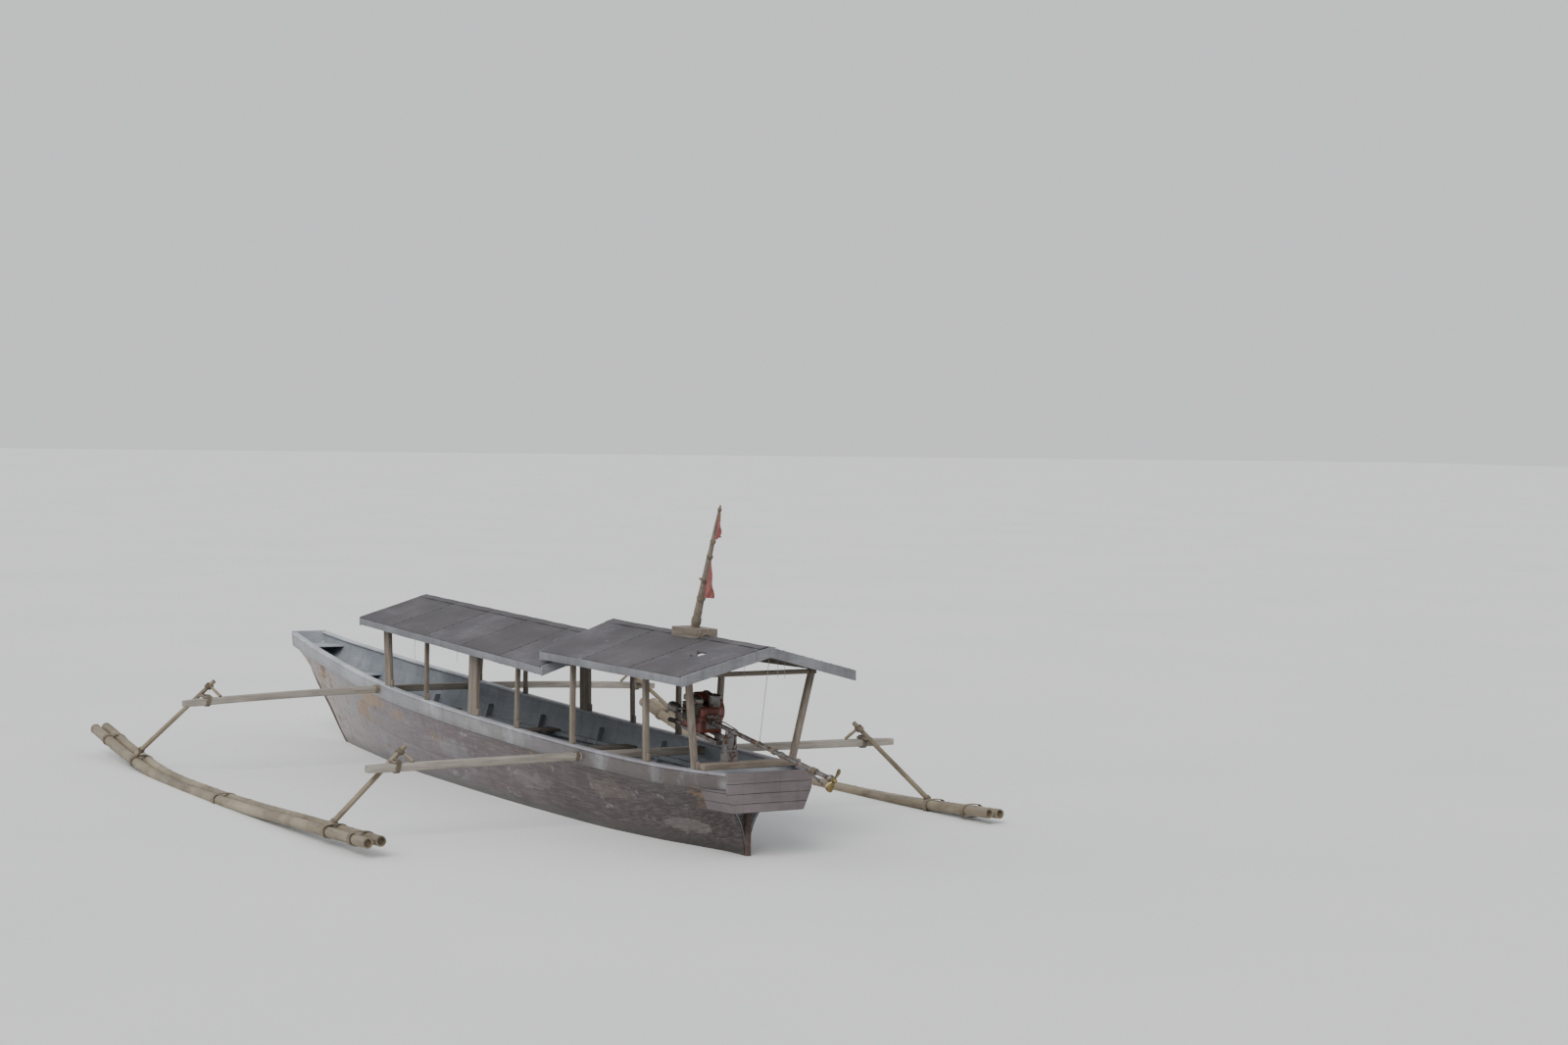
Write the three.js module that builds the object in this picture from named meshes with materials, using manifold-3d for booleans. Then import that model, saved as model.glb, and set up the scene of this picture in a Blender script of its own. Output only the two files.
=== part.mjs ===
// Motor outrigger canoe: a narrow planked hull carried between two bamboo floats by two cross
// booms, with a two-part gable roof on posts, a long-tail engine at the stern and a flagstaff.
// Millimetres. +X runs to the bow, +Y to port, +Z up, and Z = 0 is the waterline.
// Lengths along the boat are given from the sternpost and moved by MIDSHIP in place().
import * as THREE from "three";
import Module from "manifold-3d";
import { mergeVertices } from "three/addons/utils/BufferGeometryUtils.js";

const wasm = await Module();
wasm.setup();

const MIDSHIP = 5000;        // sternpost to origin
const GAP = 0.4;             // between pieces that touch
const PLANK = 20;            // hull planking
const STRAKE = 22;           // sheer strake thickness
const RAIL = { height: 25, out: 28, inside: 46 };
const KEEL_BAR = { half: 22, depth: 45, stemTop: 429.5 };
const ROOF_SHEET = 14;
const FASCIA = { depth: 82, aftStarboard: 44, thickness: 22 };
const POST_PLATE = { height: 50, width: 42 };
const BOOM = { height: 72, width: 100, reach: 2760 };
const FLOAT_RADIUS = 56;
const STRUT_RADIUS = 27;

// Hull stations. x: from the sternpost; half: half width at the rail; rail: top of the rail;
// keel: underside of the planking on the centre line; hollow: 0.4 is a full round section,
// 1 a straight V and 6 a hollow one that swells only near the top.
const STATIONS = [
  { x: 45, half: 500, rail: 775, keel: -380, hollow: 5.0 },
  { x: 600, half: 585, rail: 768, keel: -392, hollow: 2.0 },
  { x: 1200, half: 625, rail: 768, keel: -400, hollow: 1.05 },
  { x: 2200, half: 650, rail: 777, keel: -400, hollow: 0.6 },
  { x: 4200, half: 640, rail: 816, keel: -400, hollow: 0.45 },
  { x: 6200, half: 605, rail: 881, keel: -395, hollow: 0.5 },
  { x: 7400, half: 540, rail: 945, keel: -350, hollow: 0.62 },
  { x: 8300, half: 455, rail: 1000, keel: -250, hollow: 0.78 },
  { x: 8900, half: 390, rail: 1045, keel: -120, hollow: 0.88 },
  { x: 9230, half: 355, rail: 1070, keel: 0, hollow: 0.95 },
  { x: 9760, half: 295, rail: 1112, keel: 360, hollow: 1.0 },
  { x: 10210, half: 243, rail: 1155, keel: 640, hollow: 1.0 },
  { x: 10550, half: 205, rail: 1190, keel: 900, hollow: 1.0 },
];
const COUNTER = { aft: -315, halfTop: 405, halfLow: 345, foreHalfTop: 492, foreHalfLow: 400, low: 430,
  top: 782 };
const STRAKE_DEPTH = 140;

// Roofs. aft and fore ends along the boat; ridge and eave heights and half widths at each end.
const ROOFS = {
  front: { aft: 2560, fore: 7080, ridge: [1735, 1850], eave: [1470, 1620], half: [795, 765],
    plate: [625, 600] },
  aft: { aft: -300, fore: 2640, ridge: [1852, 1890], eave: [1625, 1610], half: [870, 760],
    plate: [640, 640] },
};
// Two tears through the aft roof's port slope: corners from the sternpost and across.
const TEARS = [
  [[191, 352], [225, 425], [349, 357], [412, 320], [248, 316]],
  [[262, 449], [318, 441], [372, 404], [318, 413]],
];
// Roof posts. x: foot from the sternpost; along, across: section; side: +1 port, -1 starboard;
// lean: how far the head lies ahead of the foot.
const POSTS = [
  { roof: "front", side: 1, x: 6710, along: 140, across: 45, lean: 0 },
  { roof: "front", side: 1, x: 5640, along: 42, across: 42, lean: 0 },
  { roof: "front", side: 1, x: 4430, along: 200, across: 40, lean: 0 },
  { roof: "front", side: 1, x: 3410, along: 42, across: 42, lean: 0 },
  { roof: "front", side: -1, x: 6930, along: 140, across: 45, lean: 0 },
  { roof: "front", side: -1, x: 5810, along: 42, across: 42, lean: 0 },
  { roof: "front", side: -1, x: 4430, along: 200, across: 40, lean: 0 },
  { roof: "front", side: -1, x: 3410, along: 42, across: 42, lean: 0 },
  { roof: "aft", side: 1, x: 2190, along: 48, across: 48, lean: 0 },
  { roof: "aft", side: 1, x: 820, along: 55, across: 50, lean: -60 },
  { roof: "aft", side: 1, x: 100, along: 60, across: 50, lean: -110 },
  { roof: "aft", side: -1, x: 2480, along: 48, across: 48, lean: 0 },
  { roof: "aft", side: -1, x: 1700, along: 55, across: 50, lean: -60 },
  { roof: "aft", side: -1, x: 150, along: 60, across: 50, lean: -110 },
];

// Booms. x: centre; middle, tip: height of the top edge on the centre line and at the tips.
const BOOMS = {
  fore: { x: 6960, middle: 886, tip: 804 },
  aft: { x: 1980, middle: 722, tip: 704 },
};

// Float poles, each a bent bamboo. Points of the outer pole: from the sternpost, across, up.
const FLOATS = {
  port: { side: 1, line: [[9350, 2960, 270], [8300, 2990, 140], [7000, 3020, 25], [5600, 3050, 20],
    [4200, 3070, 50], [2800, 3080, 100], [1200, 3060, 140]], bands: [8800, 7750, 5000, 2080, 1500] },
  starboard: { side: -1, line: [[7650, 3120, 500], [6900, 3140, 315], [5800, 3150, 100], [4600, 3160, 10],
    [3400, 3160, 0], [2200, 3150, 25], [660, 3140, 100]], bands: [7250, 6750, 4300, 1700, 1050] },
};
const FLOAT_PITCH = 122;      // between the two poles of a float

// Struts from float to boom. x of the head and foot, y of head and foot, z of head and foot.
const STRUTS = [
  { name: "strut_fore_port", boom: "fore", float: "port", head: [7045, 2400, 985], foot: [7720, 3010, 170] },
  { name: "strut_fore_starboard", boom: "fore", float: "starboard", head: [6875, -2380, 985],
    foot: [6820, -3120, 330] },
  { name: "strut_aft_port", boom: "aft", float: "port", head: [2065, 2360, 850], foot: [2120, 3060, 150] },
  { name: "strut_aft_starboard", boom: "aft", float: "starboard", head: [1895, -2260, 880],
    foot: [1800, -3130, 60] },
];

// Long-tail engine. The tilt pin and the swivel cross at the pivot.
const PIVOT = { x: 40, y: 190, z: 1045 };
const SWIVEL = { base: 915 };
const BEAM = { aft: -50, fore: 58, height: 58 };
// slope: at rest; reach: pivot to the tube's end; lift: tube axis above the pivot.
const TAIL = { slope: THREE.MathUtils.degToRad(7.7), reach: 1700, radius: 21, lift: 62 };
// ahead: middle of the engine from the pivot; base: its underside from the pivot.
const ENGINE = { ahead: 500, length: 350, width: 330, base: -46 };
const PROPELLER = { radius: 105, hub: 24, twist: 0.5, turn: 0.5 };

const paint = {
  keel: ["#4a3a34", 0.85], side: ["#574a52", 0.7], strake: ["#8d9096", 0.6], rail: ["#8a8f99", 0.55],
  inside: ["#6d7480", 0.7], deck: ["#80858c", 0.7], wood: ["#6b5646", 0.8], roof: ["#4b4a50", 0.85],
  fascia: ["#6c6f78", 0.7], bamboo: ["#8a7350", 0.6], engine: ["#7a2a1c", 0.5], steel: ["#6b6a68", 0.4],
  brass: ["#8c7440", 0.35], cloth: ["#8a3a34", 0.95],
};

function finish(name) {
  const [color, roughness] = paint[name];
  const metalness = name === "steel" || name === "brass" ? 0.8 : 0;
  return new THREE.MeshStandardMaterial({ color, roughness, metalness });
}

const v = (x, y, z) => new THREE.Vector3(x, y, z);

function place(x, y, z) {
  return v(x - MIDSHIP, y, z);
}

// Solids: joining, cutting and overlapping by way of manifold-3d.
function bare(geometry) {
  const g = geometry.clone();
  for (const key of Object.keys(g.attributes)) if (key !== "position") g.deleteAttribute(key);
  return mergeVertices(g, 1e-4);
}

function toSolid(geometry) {
  const g = bare(geometry);
  const mesh = new wasm.Mesh({
    numProp: 3,
    vertProperties: new Float32Array(g.attributes.position.array),
    triVerts: new Uint32Array(g.index.array),
  });
  return new wasm.Manifold(mesh);
}

function fromSolid(solid) {
  const mesh = solid.getMesh();
  const g = new THREE.BufferGeometry();
  g.setAttribute("position", new THREE.BufferAttribute(new Float32Array(mesh.vertProperties), 3));
  g.setIndex(new THREE.BufferAttribute(new Uint32Array(mesh.triVerts), 1));
  g.computeVertexNormals();
  return g;
}

function join(list) {
  return fromSolid(list.map(toSolid).reduce((sum, one) => sum.add(one)));
}

function cut(body, tools) {
  return fromSolid(tools.map(toSolid).reduce((rest, one) => rest.subtract(one), toSolid(body)));
}

function common(a, b) {
  return fromSolid(toSolid(a).intersect(toSolid(b)));
}

// Basic shapes.
function box(min, max) {
  const g = new THREE.BoxGeometry(max.x - min.x, max.y - min.y, max.z - min.z);
  return g.translate((min.x + max.x) / 2, (min.y + max.y) / 2, (min.z + max.z) / 2);
}

function bar(a, b, wide, deep, up = v(0, 0, 1)) {
  const along = v().subVectors(b, a);
  const x = along.clone().normalize();
  const y = v().crossVectors(up, x).normalize();
  const z = v().crossVectors(x, y);
  const m = new THREE.Matrix4().makeBasis(x, y, z).setPosition(a.clone().add(b).multiplyScalar(0.5));
  return new THREE.BoxGeometry(along.length(), wide, deep).applyMatrix4(m);
}

function rod(a, b, r0, r1 = r0, sides = 12) {
  const along = v().subVectors(b, a);
  const turn = new THREE.Quaternion().setFromUnitVectors(v(0, 1, 0), along.clone().normalize());
  const g = new THREE.CylinderGeometry(r1, r0, along.length(), sides);
  return g.applyQuaternion(turn).translate((a.x + b.x) / 2, (a.y + b.y) / 2, (a.z + b.z) / 2);
}

function bentPole(points, radius, sides = 10, steps = 20) {
  const path = new THREE.CatmullRomCurve3(points);
  const circle = new THREE.EllipseCurve(0, 0, radius, radius, 0, Math.PI * 2);
  const ring = new THREE.Shape(circle.getPoints(sides).slice(0, -1));
  return new THREE.ExtrudeGeometry(ring, { steps, bevelEnabled: false, extrudePath: path });
}

function plateAcross(outline, x0, x1) {
  const g = new THREE.ExtrudeGeometry(new THREE.Shape(outline.map(([y, z]) => new THREE.Vector2(y, z))),
    { depth: x1 - x0, bevelEnabled: false });
  const m = new THREE.Matrix4().makeBasis(
    v(0, 1, 0), v(0, 0, 1), v(1, 0, 0));
  return g.applyMatrix4(m).translate(x0 - MIDSHIP, 0, 0);
}

// A closed sheet between two grids of points of the same size.
function sheet(front, back) {
  const rows = front.length;
  const cols = front[0].length;
  const position = [...front.flat(), ...back.flat()].flatMap((p) => [p.x, p.y, p.z]);
  const at = (i, j) => i * cols + j;
  const off = rows * cols;
  const index = [];
  const quad = (a, b, c, d) => index.push(a, b, c, a, c, d);
  for (let i = 0; i < rows - 1; i++) {
    for (let j = 0; j < cols - 1; j++) {
      quad(at(i, j), at(i + 1, j), at(i + 1, j + 1), at(i, j + 1));
      quad(off + at(i, j), off + at(i, j + 1), off + at(i + 1, j + 1), off + at(i + 1, j));
    }
  }
  for (let i = 0; i < rows - 1; i++) {
    quad(at(i, 0), off + at(i, 0), off + at(i + 1, 0), at(i + 1, 0));
    quad(at(i, cols - 1), at(i + 1, cols - 1), off + at(i + 1, cols - 1), off + at(i, cols - 1));
  }
  for (let j = 0; j < cols - 1; j++) {
    quad(at(0, j), at(0, j + 1), off + at(0, j + 1), off + at(0, j));
    quad(at(rows - 1, j), off + at(rows - 1, j), off + at(rows - 1, j + 1), at(rows - 1, j + 1));
  }
  return facingOut(position, index);
}

function facingOut(position, index) {
  let volume = 0;
  const p = (i) => v(position[3 * i], position[3 * i + 1], position[3 * i + 2]);
  for (let i = 0; i < index.length; i += 3) {
    volume += p(index[i]).dot(p(index[i + 1]).cross(p(index[i + 2])));
  }
  for (let i = 0; volume < 0 && i < index.length; i += 3) {
    [index[i], index[i + 1]] = [index[i + 1], index[i]];
  }
  const g = new THREE.BufferGeometry();
  g.setAttribute("position", new THREE.Float32BufferAttribute(position, 3));
  g.setIndex(index);
  g.computeVertexNormals();
  return g;
}

// A closed loft through rings of the same number of points, with flat ends.
function loft(rings) {
  const n = rings[0].length;
  const position = rings.flat().flatMap((p) => [p.x, p.y, p.z]);
  const index = [];
  for (let i = 0; i < rings.length - 1; i++) {
    for (let j = 0; j < n; j++) {
      const a = i * n + j;
      const b = i * n + ((j + 1) % n);
      index.push(a, a + n, b + n, a, b + n, b);
    }
  }
  const cap = (ring, base, flip) => {
    const flat = ring.map((p) => new THREE.Vector2(p.y, p.z));
    for (const [a, b, c] of THREE.ShapeUtils.triangulateShape(flat, [])) {
      index.push(base + a, base + (flip ? c : b), base + (flip ? b : c));
    }
  };
  cap(rings[0], 0, false);
  cap(rings.at(-1), (rings.length - 1) * n, true);
  return facingOut(position, index);
}

// Hull shape. Each column of STATIONS is read between its stations by a smooth curve.
function along(column, x) {
  const s = STATIONS;
  let i = s.findIndex((row) => row.x >= x) - 1;
  if (x <= s[0].x) i = 0;
  if (x >= s.at(-1).x) i = s.length - 2;
  const a = s[Math.max(i - 1, 0)];
  const b = s[i];
  const c = s[i + 1];
  const d = s[Math.min(i + 2, s.length - 1)];
  const h = c.x - b.x;
  const rise = (c[column] - b[column]) / h;
  const before = b.x > a.x ? (b[column] - a[column]) / (b.x - a.x) : rise;
  const after = d.x > c.x ? (d[column] - c[column]) / (d.x - c.x) : rise;
  const mild = (p, q) => (p * q <= 0 ? 0 : (2 * p * q) / (p + q));
  const m0 = i === 0 ? rise : mild(before, rise);
  const m1 = i === s.length - 2 ? rise : mild(rise, after);
  const t = (x - b.x) / h;
  return b[column] * (1 + 2 * t) * (1 - t) ** 2 + h * m0 * t * (1 - t) ** 2
    + c[column] * t * t * (3 - 2 * t) + h * m1 * t * t * (t - 1);
}

const railTop = (x) => along("rail", Math.max(x, STATIONS[0].x)) + Math.max(STATIONS[0].x - x, 0) * 0.012;
const railHalf = (x) => (x >= STATIONS[0].x ? along("half", x)
  : THREE.MathUtils.mapLinear(x, COUNTER.aft, STATIONS[0].x, COUNTER.halfTop, STATIONS[0].half));
const strakeShare = (x) => THREE.MathUtils.clamp((x + 2000) / 2400, 0.8, 1);
const strakeLow = (x) => railTop(x) - RAIL.height - STRAKE_DEPTH * strakeShare(x);

const ROWS = 7;
// Half section at x: t from 0 on the centre line to 1 under the rail, moved inward by inset.
function section(x, t, inset) {
  const start = PLANK + GAP;
  const bottom = along("keel", x);
  const shoulderY = railHalf(x) - 14;
  const shoulderZ = strakeLow(x);
  const share = ROWS / (ROWS + 1);
  const h = Math.sqrt(along("hollow", x));
  const at = (s) => {
    if (s > share) {
      const k = (s - share) / (1 - share);
      return [shoulderY + 14 * k, THREE.MathUtils.lerp(shoulderZ, railTop(x) - RAIL.height - GAP, k)];
    }
    const k = s / share;
    return [start + (shoulderY - start) * k ** h, bottom + (shoulderZ - bottom) * k ** (1 / h)];
  };
  const [y, z] = at(t);
  if (inset === 0) return [y, z];
  if (t === 0) return [Math.max(start - inset, GAP), z + inset];
  const a = at(Math.max(t - 0.02, 0));
  const b = at(Math.min(t + 0.02, 1));
  const len = Math.hypot(b[0] - a[0], b[1] - a[1]);
  const topFlat = t === 1 ? 0 : ((b[0] - a[0]) / len) * inset;
  return [Math.max(y - ((b[1] - a[1]) / len) * inset, GAP), z + topFlat];
}

const HULL_X = [45, 240, 500, 850, 1250, 1800, 2500, 3400, 4400, 5400, 6300, 7000, 7600, 8100, 8500, 8900,
  9230, 9520, 9820, 10180, 10550];
const ROW_T = Array.from({ length: ROWS + 2 }, (_, j) => j / (ROWS + 1));

function hullGrid(side, inset) {
  return HULL_X.map((x) => {
    const column = ROW_T.map((t) => {
      const [y, z] = section(x, t, inset);
      return place(x, side * y, z);
    });
    return side > 0 ? column : column.reverse();
  });
}

// The room inside the planking, as a solid that the pieces inside are cut from; narrower moves
// its walls in and its bottom up.
function room(narrower = 0, topUp = 0) {
  const rings = HULL_X.map((x) => {
    const half = ROW_T.map((t) => section(x, t, PLANK + GAP + 0.2))
      .map(([y, z]) => [Math.max(y - narrower, GAP), z + narrower]);
    const port = half.map(([y, z], j) => place(x, y, z + (j === ROWS + 1 ? topUp : 0)));
    const star = half.map(([y, z], j) => place(x, -y, z + (j === ROWS + 1 ? topUp : 0))).reverse();
    return [...star, ...port];
  });
  return loft(rings);
}

function boomSlot(boom) {
  const x = boom.x - MIDSHIP;
  const top = boomTop(boom, 640) + GAP;
  const side = (s) => box(
    v(x - BOOM.width / 2 - GAP, s > 0 ? 380 : -800, top - BOOM.height - 6),
    v(x + BOOM.width / 2 + GAP, s > 0 ? 800 : -380, top + 3));
  return [side(1), side(-1)];
}

function boomTop(boom, y) {
  return boom.middle - (boom.middle - boom.tip) * (y / BOOM.reach) ** 2;
}

function hullSide(side) {
  const skin = sheet(hullGrid(side, 0), hullGrid(side, PLANK));
  return cut(skin, [...boomSlot(BOOMS.fore), ...boomSlot(BOOMS.aft)]);
}

function stripAlong(xs, low, high) {
  const grid = (f) => xs.map((x) => f(x));
  return sheet(grid(low), grid(high));
}

const STRIP_X = [COUNTER.aft, -150, ...HULL_X];
function sheerStrake(side) {
  const line = (out) => (x) => {
    const half = railHalf(x);
    return [place(x, side * (half - 14 + out), strakeLow(x)),
      place(x, side * (half + out), railTop(x) - RAIL.height - GAP)];
  };
  const strake = stripAlong(STRIP_X, line(GAP + 0.6), line(STRAKE));
  return cut(strake, [...boomSlot(BOOMS.fore), ...boomSlot(BOOMS.aft)]);
}

function rail(side, low = -RAIL.height, high = 0, wider = 0) {
  const line = (z) => (x) => [place(x, side * (railHalf(x) - RAIL.inside - wider), railTop(x) + z),
    place(x, side * (railHalf(x) + RAIL.out + wider), railTop(x) + z)];
  return stripAlong(STRIP_X, line(low), line(high));
}

function keelBar() {
  const { half, depth, stemTop } = KEEL_BAR;
  const fore = STATIONS[0].x - GAP - 0.6;
  const top = HULL_X.map((x) => [x, along("keel", x) - GAP - 0.6]);
  const lower = HULL_X.map((x) => {
    const slope = Math.atan((along("keel", x + 5) - along("keel", x - 5)) / 10);
    return [x + depth * Math.sin(slope), along("keel", x) - depth * Math.cos(slope)];
  });
  lower[0] = [0, along("keel", STATIONS[0].x) - depth];
  const outline = [[0, stemTop], ...lower, ...top.slice(1).reverse(), [fore, top[0][1]], [fore, stemTop]];
  const shape = new THREE.Shape(outline.map(([x, z]) => new THREE.Vector2(x - MIDSHIP, z)));
  const g = new THREE.ExtrudeGeometry(shape, { depth: 2 * half, bevelEnabled: false });
  return g.rotateX(Math.PI / 2).translate(0, half, 0);
}

// The overhanging stern: an open tub whose thick fore wall closes on the hull and rests on the
// sternpost.
function sternCounter() {
  const c = COUNTER;
  const ring = (x, top, low, wall) => {
    const z1 = strakeLow(x) - 14;
    const z0 = c.low + (wall ? 24 : 0);
    return [place(x, -top + wall, wall ? z1 + 40 : z1), place(x, -low + wall, z0),
      place(x, low - wall, z0), place(x, top - wall, wall ? z1 + 40 : z1)];
  };
  const tub = (aft, fore, wall) => loft([ring(aft, c.halfTop - 20, c.halfLow, wall),
    ring(fore, c.foreHalfTop - 20, c.foreHalfLow, wall)]);
  const fore = STATIONS[0].x - GAP - 0.6;
  return cut(tub(c.aft, fore, 0), [tub(c.aft - 40, -26, 22)]);
}

function counterSide(side) {
  const low = (x) => [place(x, side * (railHalf(x) - 36), strakeLow(x) - 13),
    place(x, side * (railHalf(x) - 15), strakeLow(x) - 13)];
  const high = (x) => [place(x, side * (railHalf(x) - 22), railTop(x) - RAIL.height - GAP),
    place(x, side * (railHalf(x) - 1), railTop(x) - RAIL.height - GAP)];
  return stripAlong([COUNTER.aft, -150, 40], low, high);
}

function transom() {
  const c = COUNTER;
  const half = c.halfTop + 18;
  const outline = [[-c.halfLow, c.low + 6], [c.halfLow, c.low + 6], [half, 620], [half, c.top],
    [-half, c.top], [-half, 620]];
  return plateAcross(outline, c.aft - 25, c.aft - GAP);
}

function bowBoard() {
  const outline = [[0, 925], [214, 1105], [214, 1200], [-214, 1200], [-214, 1105]];
  return plateAcross(outline, 10550 + GAP + 0.5, 10578);
}

function levelDeck(x0, x1, z, thick, from) {
  const slab = box(place(x0, -700, z - thick), place(x1, 700, z));
  return common(slab, from);
}

// Closes the hull's aft end, between the planking and up to the aft deck, ahead of the sternpost.
function sternBoard(rooms) {
  return common(box(place(46, -600, -420), place(70, 600, 690 - GAP)), rooms.tight);
}

const RIBS = [700, 1500, 2700, 4000, 5300, 6500, 7700, 8600, 9300];
const RISER = { z: 560, height: 40, width: 28, aft: 680, fore: 9316 };
// The ribs and the riser of one side; the two sides meet on the centre line.
function ribsAndRiser(rooms, side) {
  const hollow = room(44, 200);
  const ribs = RIBS.map((x) => {
    const slab = box(place(x - 15, -700, -420), place(x + 15, 700, 690));
    return cut(common(slab, rooms.tight), [hollow]);
  });
  const slab = box(place(RISER.aft, -700, RISER.z - RISER.height),
    place(RISER.fore, 700, RISER.z));
  const risers = cut(common(slab, room(10, 200)), [room(10 + RISER.width, 200)]);
  const other = box(place(0, side > 0 ? -800 : -GAP, -500), place(10600, side > 0 ? GAP : 800, 1300));
  return cut(join([...ribs, risers]), [other, ...boomSlot(BOOMS.fore), ...boomSlot(BOOMS.aft)]);
}

function floorboards(rooms) {
  const slab = box(place(720, -700, 232), place(9150, 700, 250));
  const board = common(slab, room(6, 200));
  const seams = [[-330, 2600, 6300], [-165, 1700, 7300], [0, 1200, 8200], [165, 1700, 7300],
    [330, 2600, 6300]];
  const slots = seams.map(([y, aft, fore]) => box(
    place(aft, y - 4, 220), place(fore, y + 4, 260)));
  return cut(board, [...slots, ...RIBS.map((x) => ribClear(x))]);
}

function ribClear(x) {
  const slab = box(place(x - 15 - GAP, -700, 200),
    place(x + 15 + GAP, 700, 300));
  return cut(slab, [room(44 + GAP + 0.3, 200)]);
}

// Roofs.
function roofAt(roof, x) {
  const k = (x - roof.aft) / (roof.fore - roof.aft);
  const mix = ([a, b]) => a + (b - a) * k;
  return { ridge: mix(roof.ridge), eave: mix(roof.eave), half: mix(roof.half), plate: mix(roof.plate) };
}

function roofTop(roof, x, y) {
  const r = roofAt(roof, x);
  return r.ridge - (r.ridge - r.eave) * (Math.abs(y) / r.half);
}

const SLOPE_STEPS = 4;
function slopeGrid(roof, side, drop, widen = 0) {
  return Array.from({ length: SLOPE_STEPS + 1 }, (_, i) => {
    const x = THREE.MathUtils.lerp(roof.aft - widen, roof.fore + widen, i / SLOPE_STEPS);
    const r = roofAt(roof, THREE.MathUtils.lerp(roof.aft, roof.fore, i / SLOPE_STEPS));
    return [place(x, side * (widen ? 0 : GAP), r.ridge - drop), place(x, side * r.half, r.eave - drop)];
  });
}

// Everything above the underside of a slope, to trim what carries it.
function aboveSlope(roof, side) {
  return sheet(slopeGrid(roof, side, -400, 0.5), slopeGrid(roof, side, ROOF_SHEET + GAP, 0.5));
}

// A tear straight down through a slope.
function tear(corners, roof) {
  const shape = new THREE.Shape(corners.map(([x, y]) => new THREE.Vector2(place(x, y, 0).x, y)));
  const depth = roof.ridge[1] - roof.eave[1] + 100;
  return new THREE.ExtrudeGeometry(shape, { depth, bevelEnabled: false }).translate(0, 0, roof.eave[1] - 20);
}

function roofSlope(roof, side) {
  const panel = sheet(slopeGrid(roof, side, 0), slopeGrid(roof, side, ROOF_SHEET));
  const depth = roof === ROOFS.aft && side < 0 ? FASCIA.aftStarboard : FASCIA.depth;
  const edge = (x) => {
    const { half, eave } = roofAt(roof, x);
    return [half - FASCIA.thickness, half].map((y) => place(x, side * y, eave - depth));
  };
  const edgeTop = (x) => edge(x).map((p) => p.clone().setZ(roofAt(roof, x).eave - 4));
  const slope = join([panel, stripAlong([roof.aft, roof.fore], edge, edgeTop)]);
  return roof === ROOFS.aft && side > 0 ? cut(slope, TEARS.map((row) => tear(row, roof))) : slope;
}

function gableBoard(roof, x0, x1) {
  const x = (x0 + x1) / 2;
  const r = roofAt(roof, THREE.MathUtils.clamp(x, roof.aft, roof.fore));
  const depth = 92;
  const outline = [[-r.half, r.eave], [0, r.ridge], [r.half, r.eave], [r.half, r.eave - depth],
    [0, r.ridge - depth], [-r.half, r.eave - depth]];
  return plateAcross(outline.reverse(), x0, x1);
}

function ridgePole(roof) {
  const z = (x) => roofTop(roof, x, 22) - ROOF_SHEET - GAP;
  const low = (x) => [place(x, -22, z(x) - 52), place(x, 22, z(x) - 52)];
  const high = (x) => [place(x, -22, z(x) + 3), place(x, 22, z(x) + 3)];
  const pole = stripAlong([roof.aft + GAP, roof.fore - GAP], low, high);
  return cut(pole, [aboveSlope(roof, 1), aboveSlope(roof, -1)]);
}

function postFrame(roofName, side) {
  const roof = ROOFS[roofName];
  const rows = POSTS.filter((p) => p.roof === roofName && p.side === side);
  const plateY = (x) => roofAt(roof, x).plate;
  const plateZ = (x) => roofTop(roof, x, plateY(x)) - ROOF_SHEET + 4;
  const line = (drop) => (x) => [place(x, side * (plateY(x) - POST_PLATE.width / 2), plateZ(x) - drop),
    place(x, side * (plateY(x) + POST_PLATE.width / 2), plateZ(x) - drop)];
  const plate = stripAlong([roof.aft + 60, roof.fore - 60], line(POST_PLATE.height), line(0));
  const posts = rows.map((p) => {
    const head = p.x + p.lean;
    const foot = place(p.x, side * (railHalf(p.x) - 12), railTop(p.x) - 12);
    const top = place(head, side * plateY(head), plateZ(head) - POST_PLATE.height + 12);
    const ring = (c) => [[-1, -1], [1, -1], [1, 1], [-1, 1]].map(([i, j]) =>
      v(c.x + (i * p.along) / 2, c.y + (j * p.across) / 2, c.z));
    const rings = [ring(foot), ring(top)];
    return upright(rings);
  });
  return cut(join([plate, ...posts]), [rail(side, -80, GAP, 40), aboveSlope(roof, side)]);
}

function upright(rings) {
  const position = rings.flat().flatMap((p) => [p.x, p.y, p.z]);
  const index = [];
  for (let j = 0; j < 4; j++) {
    const k = (j + 1) % 4;
    index.push(j, k, k + 4, j, k + 4, j + 4);
  }
  index.push(0, 2, 1, 0, 3, 2, 4, 5, 6, 4, 6, 7);
  return facingOut(position, index);
}

// Outriggers.
function boomBeam(boom) {
  const ys = [-BOOM.reach, -2000, -1200, -400, 400, 1200, 2000, BOOM.reach];
  const top = ys.map((y) => [y, boomTop(boom, y)]);
  const low = ys.map((y) => [y, boomTop(boom, y) - BOOM.height]).reverse();
  return plateAcross([...low.reverse(), ...top.reverse()], boom.x - BOOM.width / 2, boom.x + BOOM.width / 2);
}

function floatLine(float, shift) {
  return float.line.map(([x, y, z]) => place(x, float.side * (y - shift), z + shift * 0.08));
}

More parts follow.
